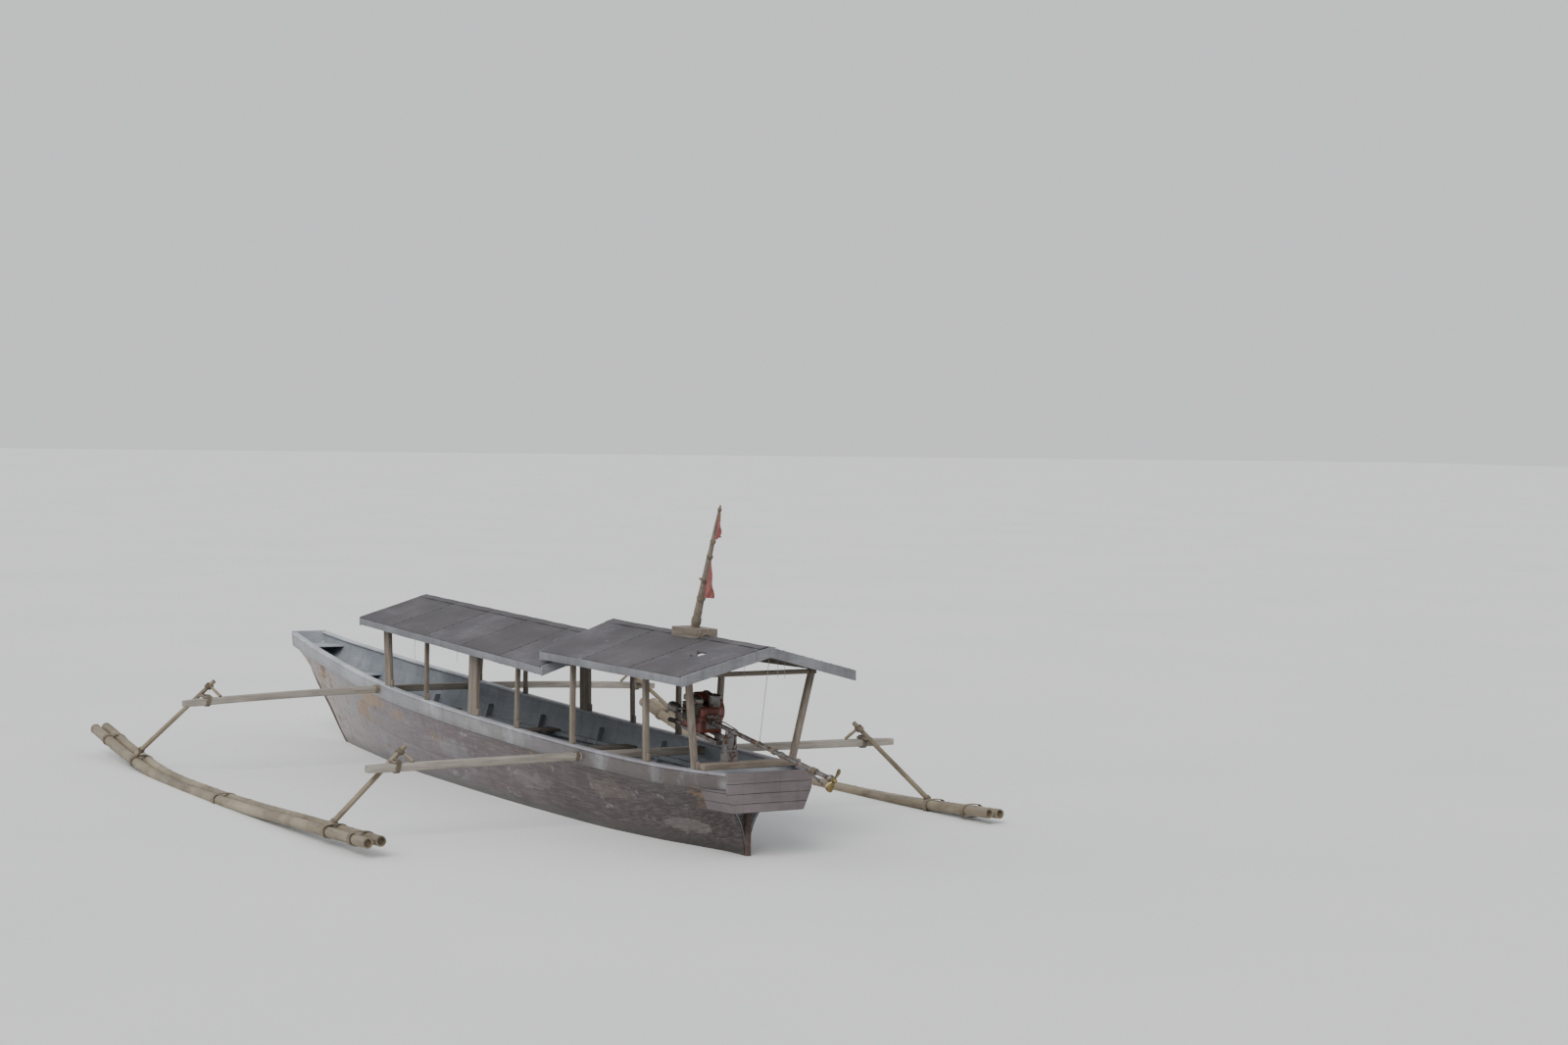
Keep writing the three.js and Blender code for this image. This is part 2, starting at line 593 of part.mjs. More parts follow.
function floatPoles(float, radius = FLOAT_RADIUS) {
  const poles = [0, FLOAT_PITCH].map((shift) => bentPole(floatLine(float, shift), radius));
  const curve = new THREE.CatmullRomCurve3(floatLine(float, FLOAT_PITCH / 2));
  const bands = float.bands.map((x) => {
    let best = 0;
    for (let k = 0; k <= 200; k++) {
      const off = (t) => Math.abs(curve.getPoint(t).x + MIDSHIP - x);
      if (off(k / 200) < off(best)) best = k / 200;
    }
    const c = curve.getPoint(best);
    const g = new THREE.BoxGeometry(60, FLOAT_PITCH + 60, FLOAT_RADIUS * 1.5);
    return g.translate(c.x, c.y, c.z);
  });
  return join([...poles, ...bands]);
}

function strut(row) {
  const head = place(...row.head);
  const foot = place(...row.foot);
  const boom = BOOMS[row.boom];
  const side = Math.sign(row.head[1]);
  const pole = rod(foot, head, STRUT_RADIUS);
  const tieTop = head.clone().lerp(foot, 0.06);
  const tieY = row.head[1] - side * 40;
  const deck = boomTop(boom, tieY);
  const tie = rod(place(boom.x, tieY, deck + 6), tieTop, 17);
  const k = (head.z - deck - 20) / (head.z - foot.z);
  const cross = head.clone().lerp(foot, k);
  const saddle = box(
    v(Math.min(boom.x - MIDSHIP - 50, cross.x - 20), cross.y - 40, boomTop(boom, cross.y) - 6),
    v(Math.max(boom.x - MIDSHIP + 50, cross.x + 20), cross.y + 40, boomTop(boom, cross.y) + 26));
  const clear = plateAcross([[-2780, boomTop(boom, 2780) - 80], [2780, boomTop(boom, 2780) - 80],
    ...[2780, 2000, 1200, 400, -400, -1200, -2000, -2780].map((y) => [y, boomTop(boom, y) + GAP])],
    boom.x - BOOM.width / 2 - GAP, boom.x + BOOM.width / 2 + GAP);
  return cut(join([pole, tie, saddle]), [clear, floatPoles(FLOATS[row.float], FLOAT_RADIUS + GAP)]);
}

// Long-tail engine. Everything that tilts is drawn level about the pivot and then tipped.
function tipped(geometry) {
  return geometry.rotateY(-TAIL.slope).translate(PIVOT.x - MIDSHIP, PIVOT.y, PIVOT.z);
}

const beamLow = railTop(BEAM.aft) + GAP;
function sternBeam() {
  const half = railHalf(BEAM.aft) + 12;
  return box(place(BEAM.aft, -half, beamLow), place(BEAM.fore, half, beamLow + BEAM.height));
}

function engineSocket() {
  const c = place(PIVOT.x, PIVOT.y, beamLow + BEAM.height + GAP);
  const block = box(v(c.x - 48, c.y - 60, c.z), v(c.x + 48, c.y + 60, SWIVEL.base - GAP));
  return cut(block, [rod(v(c.x, c.y, c.z + 12), v(c.x, c.y, c.z + 300), 18, 18, 16)]);
}

function swivelFork() {
  const c = place(PIVOT.x, PIVOT.y, SWIVEL.base);
  const pin = rod(v(c.x, c.y, c.z - 50), v(c.x, c.y, c.z + 8), 17, 17, 16);
  const base = box(v(c.x - 35, c.y - 58, c.z), v(c.x + 35, c.y + 58, c.z + 24));
  const hole = rod(v(c.x, c.y - 80, PIVOT.z), v(c.x, c.y + 80, PIVOT.z), 9.5);
  const cheeks = [1, -1].map((s) => cut(
    box(v(c.x - 28, c.y + s * 49 - 9, c.z + 10), v(c.x + 28, c.y + s * 49 + 9, PIVOT.z + 24)), [hole]));
  return join([pin, base, ...cheeks]);
}

function engineBlock() {
  const e = ENGINE;
  const x0 = e.ahead - e.length / 2;
  const x1 = e.ahead + e.length / 2;
  const case_ = box(v(x0, -110, e.base), v(x1, 110, e.base + 230));
  const head = box(v(x0 + 50, 60, e.base + 70), v(x1 - 60, e.width / 2, e.base + 300));
  const fan = rod(v(x0 + 165, -e.width / 2, e.base + 165), v(x0 + 165, -100, e.base + 165), 118, 118, 20);
  return tipped(join([case_, head, fan]));
}

function fuelTank() {
  const e = ENGINE;
  const outline = new THREE.Shape().absellipse(0, 0, 88, 46, 0, Math.PI * 2);
  const g = new THREE.ExtrudeGeometry(outline, { depth: 158, bevelEnabled: false, curveSegments: 10 });
  return tipped(g.rotateX(Math.PI / 2).translate(e.ahead + 50, 58, e.base + 230 + GAP + 46));
}

function airFilter() {
  const e = ENGINE;
  const x = e.ahead - e.length / 2 + 62;
  const z = e.base + 230.4;
  return tipped(rod(v(x, -40, z), v(x, -40, z + 118), 58, 54, 16));
}

function tailAssembly() {
  const e = ENGINE;
  const rear = e.ahead - e.length / 2 - GAP;
  const low = e.base - GAP - 34;
  const high = e.base - GAP;
  const tube = rod(v(-TAIL.reach, 0, TAIL.lift), v(rear - 5, 0, TAIL.lift), TAIL.radius);
  const flange = box(v(rear - 22, -62, TAIL.lift - 60), v(rear, 62, TAIL.lift + 60));
  const hinge = box(v(-26, -34, low), v(26, 34, TAIL.lift));
  const pin = rod(v(0, -56, 0), v(0, 56, 0), 9);
  const spine = box(v(-26, -34, low), v(100, 34, high));
  const cross = [80, e.ahead + e.length / 2].map((x) => box(v(x - 20, -98, low), v(x + 20, 98, high)));
  const rails = [-1, 1].map((s) => box(v(62, s * 79 - 18, low),
    v(e.ahead + e.length / 2 + 20, s * 79 + 18, high)));
  const skeg = bar(v(-TAIL.reach + 25, 0, TAIL.lift - 100), v(-TAIL.reach + 430, 0, TAIL.lift - 12), 8, 20);
  const skegPost = box(v(-TAIL.reach + 10, -4, TAIL.lift - 108), v(-TAIL.reach + 34, 4, TAIL.lift));
  return tipped(join([tube, flange, hinge, pin, spine, ...cross, ...rails, skeg, skegPost]));
}

function tiller() {
  const x = ENGINE.ahead + ENGINE.length / 2 + 20 + GAP;
  const z = ENGINE.base - 17;
  const foot = box(v(x, -90, z - 16), v(x + 14, 90, z + 16));
  const stem = rod(v(x + 6, 0, z), v(x + 380, 0, z - 37), 15);
  const grip = rod(v(x + 270, 0, z - 26), v(x + 400, 0, z - 39), 21);
  return tipped(join([foot, stem, grip]));
}

function propeller() {
  const x = -TAIL.reach - 1;
  const hub = rod(v(x, 0, TAIL.lift), v(x - 62, 0, TAIL.lift), PROPELLER.hub, 12, 14);
  const blades = [0, 1].map((k) => {
    const blade = new THREE.Shape();
    blade.moveTo(-14, 0);
    blade.quadraticCurveTo(-44, 60, -16, PROPELLER.radius);
    blade.quadraticCurveTo(10, PROPELLER.radius + 4, 22, PROPELLER.radius - 20);
    blade.quadraticCurveTo(40, 50, 14, 0);
    const g = new THREE.ExtrudeGeometry(blade, { depth: 7, bevelEnabled: false, curveSegments: 5 });
    g.translate(0, 8, -3.5).rotateY(Math.PI / 2 + PROPELLER.twist);
    g.rotateX(Math.PI / 2 + k * Math.PI + PROPELLER.turn);
    return g.translate(x - 30, 0, TAIL.lift);
  });
  return tipped(join([hub, ...blades]));
}

// Flagstaff on the aft roof.
const STAFF = { x: 1040, y: 0, foot: 1905, top: 3040, lean: -440 };
function staffBase() {
  const z = (y) => roofTop(ROOFS.aft, STAFF.x, y);
  const outline = [[-110, z(110) + 2], [0, z(0) + 5], [110, z(110) + 2], [110, 1925], [-110, 1925]];
  const saddle = plateAcross(outline, STAFF.x - 230, STAFF.x + 230);
  return cut(saddle, [staffPole(GAP), roofClear()]);
}

function roofClear() {
  const roof = ROOFS.aft;
  const line = (drop) => (x) => [-200, 0, 200].map((y) => place(x, y, roofTop(roof, x, y) - drop));
  return stripAlong([roof.aft, roof.fore], line(100), line(-GAP - 0.2));
}

function staffPoint(k) {
  return place(STAFF.x + STAFF.lean * k, STAFF.y, STAFF.foot + (STAFF.top - STAFF.foot) * k);
}

function staffPole(grow = 0) {
  return rod(staffPoint(0), staffPoint(1), 42 + grow, 12 + grow, 12);
}

function staff() {
  const pole = staffPole();
  const peg = rod(staffPoint(0.4), staffPoint(0.4).add(v(90, 0, 10)), 12, 12, 8);
  return join([pole, peg]);
}

function pennant(k0, k1, fly, drop) {
  const a = staffPoint(k1);
  const b = staffPoint(k0);
  const off = (p, k) => p.clone().add(v(-(36 - 30 * k), 0, 0));
  const pa = off(a, k1);
  const pb = off(b, k0);
  const outline = [[pa.x, pa.z], [pb.x, pb.z], [pb.x - fly, pb.z + drop]];
  const shape = new THREE.Shape(outline.map(([x, z]) => new THREE.Vector2(x, z)));
  const g = new THREE.ExtrudeGeometry(shape, { depth: 8, bevelEnabled: false });
  return cut(g.rotateX(Math.PI / 2).translate(0, STAFF.y + 4, 0), [staffPole(GAP)]);
}

// The side curtain, rolled up under the port eave.
const CURTAIN = { radius: 46, aft: 2660, fore: 3740 };
function rolledCurtain() {
  const at = (x) => {
    const y = roofAt(ROOFS.front, x).half - FASCIA.thickness - CURTAIN.radius - GAP;
    return place(x, y, roofTop(ROOFS.front, x, y) - ROOF_SHEET - CURTAIN.radius - 22);
  };
  return rod(at(CURTAIN.aft), at(CURTAIN.fore), CURTAIN.radius, CURTAIN.radius, 12);
}

function thwart(x, rooms) {
  const slab = box(place(x - 110, -700, RISER.z + GAP), place(x + 110, 700, RISER.z + 22));
  const ribs = RIBS.map((r) => box(place(r - 16, -700, 500), place(r + 16, 700, 640)));
  return cut(common(slab, rooms.tight), ribs);
}

function build() {
  const boat = new THREE.Group();
  const add = (name, geometry, material) => {
    const mesh = new THREE.Mesh(geometry, finish(material));
    mesh.name = name;
    boat.add(mesh);
  };
  const rooms = { tight: room() };
  add("keel_and_stem", keelBar(), "keel");
  for (const [word, side] of [["port", 1], ["starboard", -1]]) {
    add(`hull_side_${word}`, hullSide(side), "side");
    add(`sheer_strake_${word}`, sheerStrake(side), "strake");
    add(`rail_${word}`, rail(side), "rail");
    add(`counter_side_${word}`, counterSide(side), "side");
    add(`roof_frame_front_${word}`, postFrame("front", side), "wood");
    add(`roof_frame_aft_${word}`, postFrame("aft", side), "wood");
    add(`roof_slope_front_${word}`, roofSlope(ROOFS.front, side), "roof");
    add(`roof_slope_aft_${word}`, roofSlope(ROOFS.aft, side), "roof");
    add(`float_${word}`, floatPoles(FLOATS[word]), "bamboo");
  }
  add("stern_counter", sternCounter(), "side");
  add("transom", transom(), "strake");
  add("stern_board", sternBoard(rooms), "side");
  add("bow_board", bowBoard(), "strake");
  add("foredeck", levelDeck(10040, 10545, 1060, 18, rooms.tight), "deck");
  add("fore_locker_deck", levelDeck(9050, 9620, 800, 18, rooms.tight), "deck");
  add("aft_deck", levelDeck(60, 660, 712, 22, rooms.tight), "deck");
  add("ribs_and_riser_port", ribsAndRiser(rooms, 1), "inside");
  add("ribs_and_riser_starboard", ribsAndRiser(rooms, -1), "inside");
  add("floorboards", floorboards(rooms), "wood");
  for (const x of [1180, 3350, 5000, 7250]) add(`thwart_${x / 10}`, thwart(x, rooms), "wood");
  for (const word of ["front", "aft"]) {
    const roof = ROOFS[word];
    add(`gable_board_${word}_fore`, gableBoard(roof, roof.fore + GAP, roof.fore + 24), "fascia");
    add(`gable_board_${word}_aft`, gableBoard(roof, roof.aft - 24, roof.aft - GAP), "fascia");
    add(`ridge_pole_${word}`, ridgePole(roof), "wood");
  }
  add("boom_fore", boomBeam(BOOMS.fore), "bamboo");
  add("boom_aft", boomBeam(BOOMS.aft), "bamboo");
  for (const row of STRUTS) add(row.name, strut(row), "bamboo");
  add("stern_beam", sternBeam(), "wood");
  add("engine_socket", engineSocket(), "steel");
  add("engine_swivel", swivelFork(), "steel");
  add("engine_block", engineBlock(), "engine");
  add("fuel_tank", fuelTank(), "engine");
  add("air_filter", airFilter(), "steel");
  add("tail_frame", tailAssembly(), "steel");
  add("tiller", tiller(), "steel");
  add("propeller", propeller(), "brass");
  add("flagstaff_base", staffBase(), "wood");
  add("flagstaff", staff(), "wood");
  add("pennant_upper", pennant(0.72, 0.97, 110, 40), "cloth");
  add("pennant_lower", pennant(0.26, 0.58, 190, 10), "cloth");
  add("rolled_curtain", rolledCurtain(), "cloth");
  return boat;
}

export default build();
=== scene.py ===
import math

import bmesh
import bpy
import numpy as np
from mathutils import Matrix


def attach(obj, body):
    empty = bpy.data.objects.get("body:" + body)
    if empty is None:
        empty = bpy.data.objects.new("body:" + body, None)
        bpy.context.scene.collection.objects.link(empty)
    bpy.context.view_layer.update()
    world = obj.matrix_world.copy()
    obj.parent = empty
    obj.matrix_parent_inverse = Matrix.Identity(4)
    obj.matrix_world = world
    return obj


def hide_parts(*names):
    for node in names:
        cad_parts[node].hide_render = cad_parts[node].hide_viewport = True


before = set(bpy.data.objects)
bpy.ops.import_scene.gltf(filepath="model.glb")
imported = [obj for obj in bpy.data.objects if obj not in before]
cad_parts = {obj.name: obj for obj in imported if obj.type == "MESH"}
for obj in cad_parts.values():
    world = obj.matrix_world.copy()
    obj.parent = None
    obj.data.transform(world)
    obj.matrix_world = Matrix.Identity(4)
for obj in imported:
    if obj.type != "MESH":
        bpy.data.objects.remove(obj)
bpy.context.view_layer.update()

MIDSHIP = 5.0                # lengths are taken from the sternpost, which stands at -MIDSHIP
AHEAD, PORT, UP = (1, 0, 0), (0, 1, 0), (0, 0, 1)
GAP = 0.0004                 # left between neighbours
PLANK, STRAKE, STRAKE_DEPTH = 0.020, 0.022, 0.140
RAIL_OUT, RAIL_IN, RAIL_DEEP = 0.028, 0.046, 0.025
ROOF_SHEET, FASCIA_THICK = 0.014, 0.022
FASCIA_DEPTH, AFT_STARBOARD_FASCIA = 0.082, 0.044
COUNTER_AFT, COUNTER_HALF = -0.315, 0.405
BOOM_DEEP, BOOM_WIDE, BOOM_REACH = 0.072, 0.100, 2.760
FLOAT_RADIUS, FLOAT_PITCH, STRUT_RADIUS = 0.056, 0.122, 0.027

# Hull stations: from the sternpost, half width, top of rail, underside, hollowness.
STATIONS = np.array([
    [0.045, 0.500, 0.775, -0.380, 5.00], [0.600, 0.585, 0.768, -0.392, 2.00],
    [1.200, 0.625, 0.768, -0.400, 1.05], [2.200, 0.650, 0.777, -0.400, 0.60],
    [4.200, 0.640, 0.816, -0.400, 0.45], [6.200, 0.605, 0.881, -0.395, 0.50],
    [7.400, 0.540, 0.945, -0.350, 0.62], [8.300, 0.455, 1.000, -0.250, 0.78],
    [8.900, 0.390, 1.045, -0.120, 0.88], [9.230, 0.355, 1.070, 0.000, 0.95],
    [9.760, 0.295, 1.112, 0.360, 1.00], [10.210, 0.243, 1.155, 0.640, 1.00],
    [10.550, 0.205, 1.190, 0.900, 1.00]])
HALF, RAIL, KEEL, HOLLOW = 1, 2, 3, 4
HULL_AFT, HULL_FORE, HULL_AFT_HALF = STATIONS[0, 0], STATIONS[-1, 0], STATIONS[0, HALF]
SHOULDER = 0.014             # how far in the planking stands where it meets the strake
RIBS = [0.7, 1.5, 2.7, 4.0, 5.3, 6.5, 7.7, 8.6, 9.3]

# Roofs: aft and fore end, then ridge, eave, half width and half width of the plates at those two.
ROOFS = {
    "front": dict(x=(2.560, 7.080), ridge=(1.735, 1.850), eave=(1.470, 1.620), half=(0.795, 0.765),
                  plate=(0.625, 0.600)),
    "aft": dict(x=(-0.300, 2.640), ridge=(1.852, 1.890), eave=(1.625, 1.610), half=(0.870, 0.760),
                plate=(0.640, 0.640)),
}
# Booms: how far from the sternpost, then the height of the top amidships and at the tips.
BOOMS = {"fore": (6.960, 0.886, 0.804), "aft": (1.980, 0.722, 0.704)}
# Floats: side, the line of the outer bamboo as (from the sternpost, out, up), and the lashings.
FLOATS = {
    "port": (1, [[9.35, 2.96, .27], [8.3, 2.99, .14], [7.0, 3.02, .025], [5.6, 3.05, .02],
                 [4.2, 3.07, .05], [2.8, 3.08, .10], [1.2, 3.06, .14]], [8.8, 7.75, 5.0, 2.08, 1.5]),
    "starboard": (-1, [[7.65, 3.12, .5], [6.9, 3.14, .315], [5.8, 3.15, .10], [4.6, 3.16, .01],
                       [3.4, 3.16, 0.], [2.2, 3.15, .025], [.66, 3.14, .10]],
                  [7.25, 6.75, 4.3, 1.7, 1.05]),
}
# Struts: boom, head and foot.
STRUTS = {
    "fore_port": ("fore", (7.045, 2.400, .985), (7.720, 3.010, .170)),
    "fore_starboard": ("fore", (6.875, -2.380, .985), (6.820, -3.120, .330)),
    "aft_port": ("aft", (2.065, 2.360, .850), (2.120, 3.060, .150)),
    "aft_starboard": ("aft", (1.895, -2.260, .880), (1.800, -3.130, .060)),
}
PIVOT = np.array([0.040 - MIDSHIP, 0.190, 1.045])
SEAT_TOP = 0.8338            # where the engine's socket stands on its beam
TAIL_SLOPE, TAIL_REACH, TAIL_LIFT = math.radians(7.7), 1.700, 0.062


# Camera, floor and light.
def photo_camera():
    """A lens 1.75 times as long as its frame is wide, on the port quarter."""
    data = bpy.data.cameras.new("camera")
    data.lens, data.sensor_width, data.clip_end = 63.0, 36.0, 500.0
    camera = bpy.data.objects.new("camera", data)
    right = (-0.51249628, -0.85852543, 0.01678261)
    up = (0.03908956, -0.00380139, 0.99922848)
    back = (-0.85779926, 0.5127569, 0.03550758)
    turn = Matrix((right, up, back)).transposed().to_4x4()
    camera.matrix_world = Matrix.Translation((-25.57, 11.996, 3.762)) @ turn
    bpy.context.collection.objects.link(camera)
    bpy.context.scene.camera = camera


def soft_sun(name, place, strength, tint, spread):
    """A very wide sun that shines from the given side onto the boat."""
    data = bpy.data.lights.new(name, "SUN")
    data.energy, data.color, data.angle = strength, tint, math.radians(spread)
    lamp = bpy.data.objects.new(name, data)
    z = np.array(place) / np.linalg.norm(place)
    x = np.cross(UP, z)
    x /= np.linalg.norm(x)
    lamp.matrix_world = Matrix((x, np.cross(z, x), z)).transposed().to_4x4()
    bpy.context.collection.objects.link(lamp)


def studio():
    """A pale floor at the waterline, an even sky and two broad soft lights."""
    world = bpy.data.worlds.new("studio")
    bpy.context.scene.world = world
    world.use_nodes = True
    sky = world.node_tree.nodes["Background"]
    sky.inputs["Color"].default_value = (0.86, 0.87, 0.89, 1.0)
    sky.inputs["Strength"].default_value = 0.95
    soft_sun("key_light", (-14.0, 14.0, 15.0), 2.5, (1.0, 0.97, 0.93), 35)
    soft_sun("side_light", (10.0, 14.0, 8.0), 0.5, (0.95, 0.97, 1.0), 60)
    reach = 260.0
    mesh = bpy.data.meshes.new("floor")
    mesh.from_pydata([(-reach, -reach, 0), (reach, -reach, 0), (reach, reach, 0), (-reach, reach, 0)],
                     [], [(0, 1, 2, 3)])
    floor = bpy.data.objects.new("floor", mesh)
    bpy.context.collection.objects.link(floor)
    paper = Finish("studio_paper", 0.9)
    paper.colour(paper.ramp(paper.noise(0.2), [(0.3, "#d6d8d9"), (0.7, "#dcdddd")]))
    mesh.materials.append(paper.material)


# Finishes. Each is a chain of procedural nodes.
def linear(hexa):
    """sRGB hex to linear colour."""
    rgb = np.array([int(hexa[i:i + 2], 16) for i in (1, 3, 5)]) / 255
    return (*np.where(rgb <= 0.04045, rgb / 12.92, ((rgb + 0.055) / 1.055) ** 2.4), 1.0)


class Finish:
    """Short calls that add a node to one material and hand back its output."""

    def __init__(self, name, roughness=0.7, metallic=0.0, sheen=0.0):
        self.material = bpy.data.materials.new(name)
        self.material.use_nodes = True
        self.tree = self.material.node_tree
        self.shader = self.tree.nodes["Principled BSDF"]
        self.shader.inputs["Roughness"].default_value = roughness
        self.shader.inputs["Metallic"].default_value = metallic
        self.shader.inputs["Sheen Weight"].default_value = sheen
        self.place = self.add("ShaderNodeTexCoord").outputs["Object"]
        self.relief = None

    def add(self, kind, inputs=(), **settings):
        node = self.tree.nodes.new(kind)
        for key, value in settings.items():
            setattr(node, key, value)
        for key, value in dict(inputs).items():
            self.join(value, node.inputs[key])
        return node

    def join(self, value, socket):
        if isinstance(value, bpy.types.NodeSocket):
            self.tree.links.new(value, socket)
        elif isinstance(value, str):
            socket.default_value = linear(value)
        else:
            socket.default_value = value

    def stretched(self, scale, base=None):
        vector = base or self.place
        return self.add("ShaderNodeMapping", {"Vector": vector, "Scale": scale}).outputs["Vector"]

    def uv(self):
        return self.add("ShaderNodeUVMap", uv_map="lay").outputs["UV"]

    def noise(self, scale, vector=None, detail=5.0, rough=0.55, bend=0.0):
        return self.add("ShaderNodeTexNoise", {
            "Vector": vector or self.place, "Scale": scale, "Detail": detail, "Roughness": rough,
            "Distortion": bend}).outputs["Fac"]

    def cells(self, scale):
        return self.add("ShaderNodeTexVoronoi", {"Vector": self.place, "Scale": scale}).outputs["Distance"]

    def sum(self, kind, a, b=0.0):
        node = self.add("ShaderNodeMath", operation=kind)
        for value, socket in zip((a, b), node.inputs):
            self.join(value, socket)
        return node.outputs[0]

    def axis(self, letter):
        return self.add("ShaderNodeSeparateXYZ", {"Vector": self.place}).outputs[letter]

    def span(self, value, low, high, to_low=0.0, to_high=1.0):
        """to_low below low, to_high beyond high and an even rise between."""
        node = self.add("ShaderNodeMapRange", {"Value": value, "From Min": low, "From Max": high,
                                               "To Min": to_low, "To Max": to_high})
        return node.outputs["Result"]

    def ramp(self, value, stops):
        node = self.add("ShaderNodeValToRGB", {"Fac": value})
        row = node.color_ramp.elements
        while len(row) < len(stops):
            row.new(0.5)
        for element, (at, colour) in zip(row, stops):
            element.position, element.color = at, linear(colour)
        return node.outputs["Color"]

    def part(self, share, value):
        return self.sum("MULTIPLY", value, share)

    def swing(self, size, value):
        """A value that wanders round 0.5, set about 0 and scaled."""
        return self.part(size, self.sum("SUBTRACT", value, 0.5))

    def over(self, tone, share, cover, colour, blend="MIX"):
        """The tone with a share of a colour laid over it where the cover is 1."""
        return self.mix(self.part(share, cover), tone, colour, blend)

    def blot(self, x, z, wide, high):
        """1 inside an ellipse round (x, z) seen from the side, with a ragged rim, and 0 beyond it."""
        dx = self.span(self.axis("X"), x - MIDSHIP - wide, x - MIDSHIP + wide, -1.0, 1.0)
        dz = self.span(self.axis("Z"), z - high, z + high, -1.0, 1.0)
        off = self.sum("ADD", self.part(dx, dx), self.part(dz, dz))
        rag = self.swing(3.6, self.noise(7.0, None, 8.0, 0.7))
        return self.span(self.sum("ADD", off, rag), 0.75, 0.55)

    def mix(self, share, a, b, blend="MIX"):
        node = self.add("ShaderNodeMix", data_type="RGBA", blend_type=blend)
        for value, key in ((share, 0), (a, 6), (b, 7)):
            self.join(value, node.inputs[key])
        return node.outputs[2]

    def colour(self, value):
        self.join(value, self.shader.inputs["Base Color"])

    def rough(self, value, low, high):
        self.join(self.span(value, 0.25, 0.75, low, high), self.shader.inputs["Roughness"])

    def bump(self, height, strength=0.3, depth=0.01):
        """Adds one more layer of relief over those already there."""
        node = self.add("ShaderNodeBump", {"Height": height, "Strength": strength, "Distance": depth})
        if self.relief:
            self.join(self.relief, node.inputs["Normal"])
        self.relief = node.outputs["Normal"]
        self.join(self.relief, self.shader.inputs["Normal"])


GRAIN = {"X": (0.9, 14.0, 14.0), "Y": (14.0, 0.9, 14.0), "Z": (14.0, 14.0, 0.9)}


def bare_timber(name, axis, dark, mid, light, stain=0.5):
    """Unpainted weathered wood: grain drawn out along one axis, soft bands, cracks and grey bloom."""
    f = Finish(name, 0.8)
    run = f.stretched(GRAIN[axis])
    fibre = f.noise(6.0, run, 8.0, 0.62, 0.4)
    band = f.noise(1.3, run, 3.0, 0.5, 1.2)
    tone = f.ramp(band, [(0.25, dark), (0.5, mid), (0.78, light)])
    tone = f.over(tone, 0.55, f.span(fibre, 0.35, 0.7), light)
    crack = f.span(f.noise(11.0, run, 4.0, 0.7), 0.36, 0.30)
    tone = f.over(tone, 0.75, crack, "#1c1512")
    grime = f.span(f.noise(2.4, None, 6.0, 0.6), 0.45, 0.75)
    f.colour(f.over(tone, stain, grime, dark))
    f.rough(fibre, 0.62, 0.92)
    f.bump(crack, 0.35, -0.004)
    f.bump(fibre, 0.28, 0.003)
    return f.material


def worn_paint(name, axis, fresh, faded, under, wear=0.6, spots=0.5, aft=None, seams=()):
    """Old brushed paint over timber: faded patches, chips down to the wood, drips and grime; aft is
    the tone it darkens to towards the stern, and seams are the heights of open board joints."""
    f = Finish(name, 0.6)
    run = f.stretched(GRAIN[axis])
    fibre = f.noise(5.0, run, 7.0, 0.6, 0.3)
    cloud = f.noise(1.7, None, 6.0, 0.62)
    tone = f.mix(f.span(cloud, 0.35, 0.68), fresh, faded)
    if aft:
        shifted = f.sum("ADD", f.axis("X"), f.swing(3.0, cloud))
        tone = f.mix(f.span(shifted, -4.5, 2.5), f.mix(f.span(cloud, 0.52, 0.70), aft, fresh), tone)
    tone = f.over(tone, 0.22, f.span(fibre, 0.4, 0.75), "#ffffff", "OVERLAY")
    streak = f.noise(2.2, f.stretched((5.0, 5.0, 0.5)), 6.0, 0.65)
    tone = f.over(tone, 0.35, f.span(streak, 0.52, 0.75), "#3a2e28")
    worn = f.span(f.noise(1.1, None, 3.0), 0.62 - 0.25 * wear, 0.72)
    chip = f.part(worn, f.span(f.noise(9.0, run, 8.0, 0.72), 0.62, 0.66))
    tone = f.mix(chip, tone, under)
    dot = f.span(f.cells(26.0), 0.16, 0.10)
    dot = f.part(f.span(f.noise(3.0), 0.5, 0.6), dot)
    tone = f.over(tone, spots, dot, "#4a3428")
    for z in seams:
        height = f.sum("ADD", f.axis("Z"), f.span(fibre, 0.0, 1.0, -0.004, 0.004))
        joint = f.span(f.sum("ABSOLUTE", f.sum("SUBTRACT", height, z)), 0.0034, 0.0018)
        tone = f.mix(joint, tone, "#1d1614")
        f.bump(joint, 0.5, -0.003)
    f.colour(tone)
    f.rough(cloud, 0.42, 0.78)
    f.bump(chip, 0.4, -0.002)
    f.bump(fibre, 0.18, 0.002)
    f.bump(streak, 0.1, 0.003)
    return f.material


# Patches on the planking: from the sternpost, up, half length, half height, tone, strength.
PATCHES = [(7.35, 0.70, 0.42, 0.10, "#8d7350", 0.75), (6.55, 0.60, 0.30, 0.07, "#7f6a4c", 0.6),
           (9.25, 0.86, 0.16, 0.07, "#5b3d2d", 0.8), (9.70, 0.60, 0.10, 0.09, "#5b3d2d", 0.7),
           (8.35, 0.45, 0.34, 0.14, "#8b8c8e", 0.5), (5.10, 0.40, 0.55, 0.12, "#77777a", 0.45),
           (3.30, 0.30, 0.60, 0.10, "#6c6663", 0.45), (1.60, 0.42, 0.40, 0.11, "#5f5650", 0.5),
           (0.70, 0.20, 0.30, 0.08, "#7a7470", 0.4)]


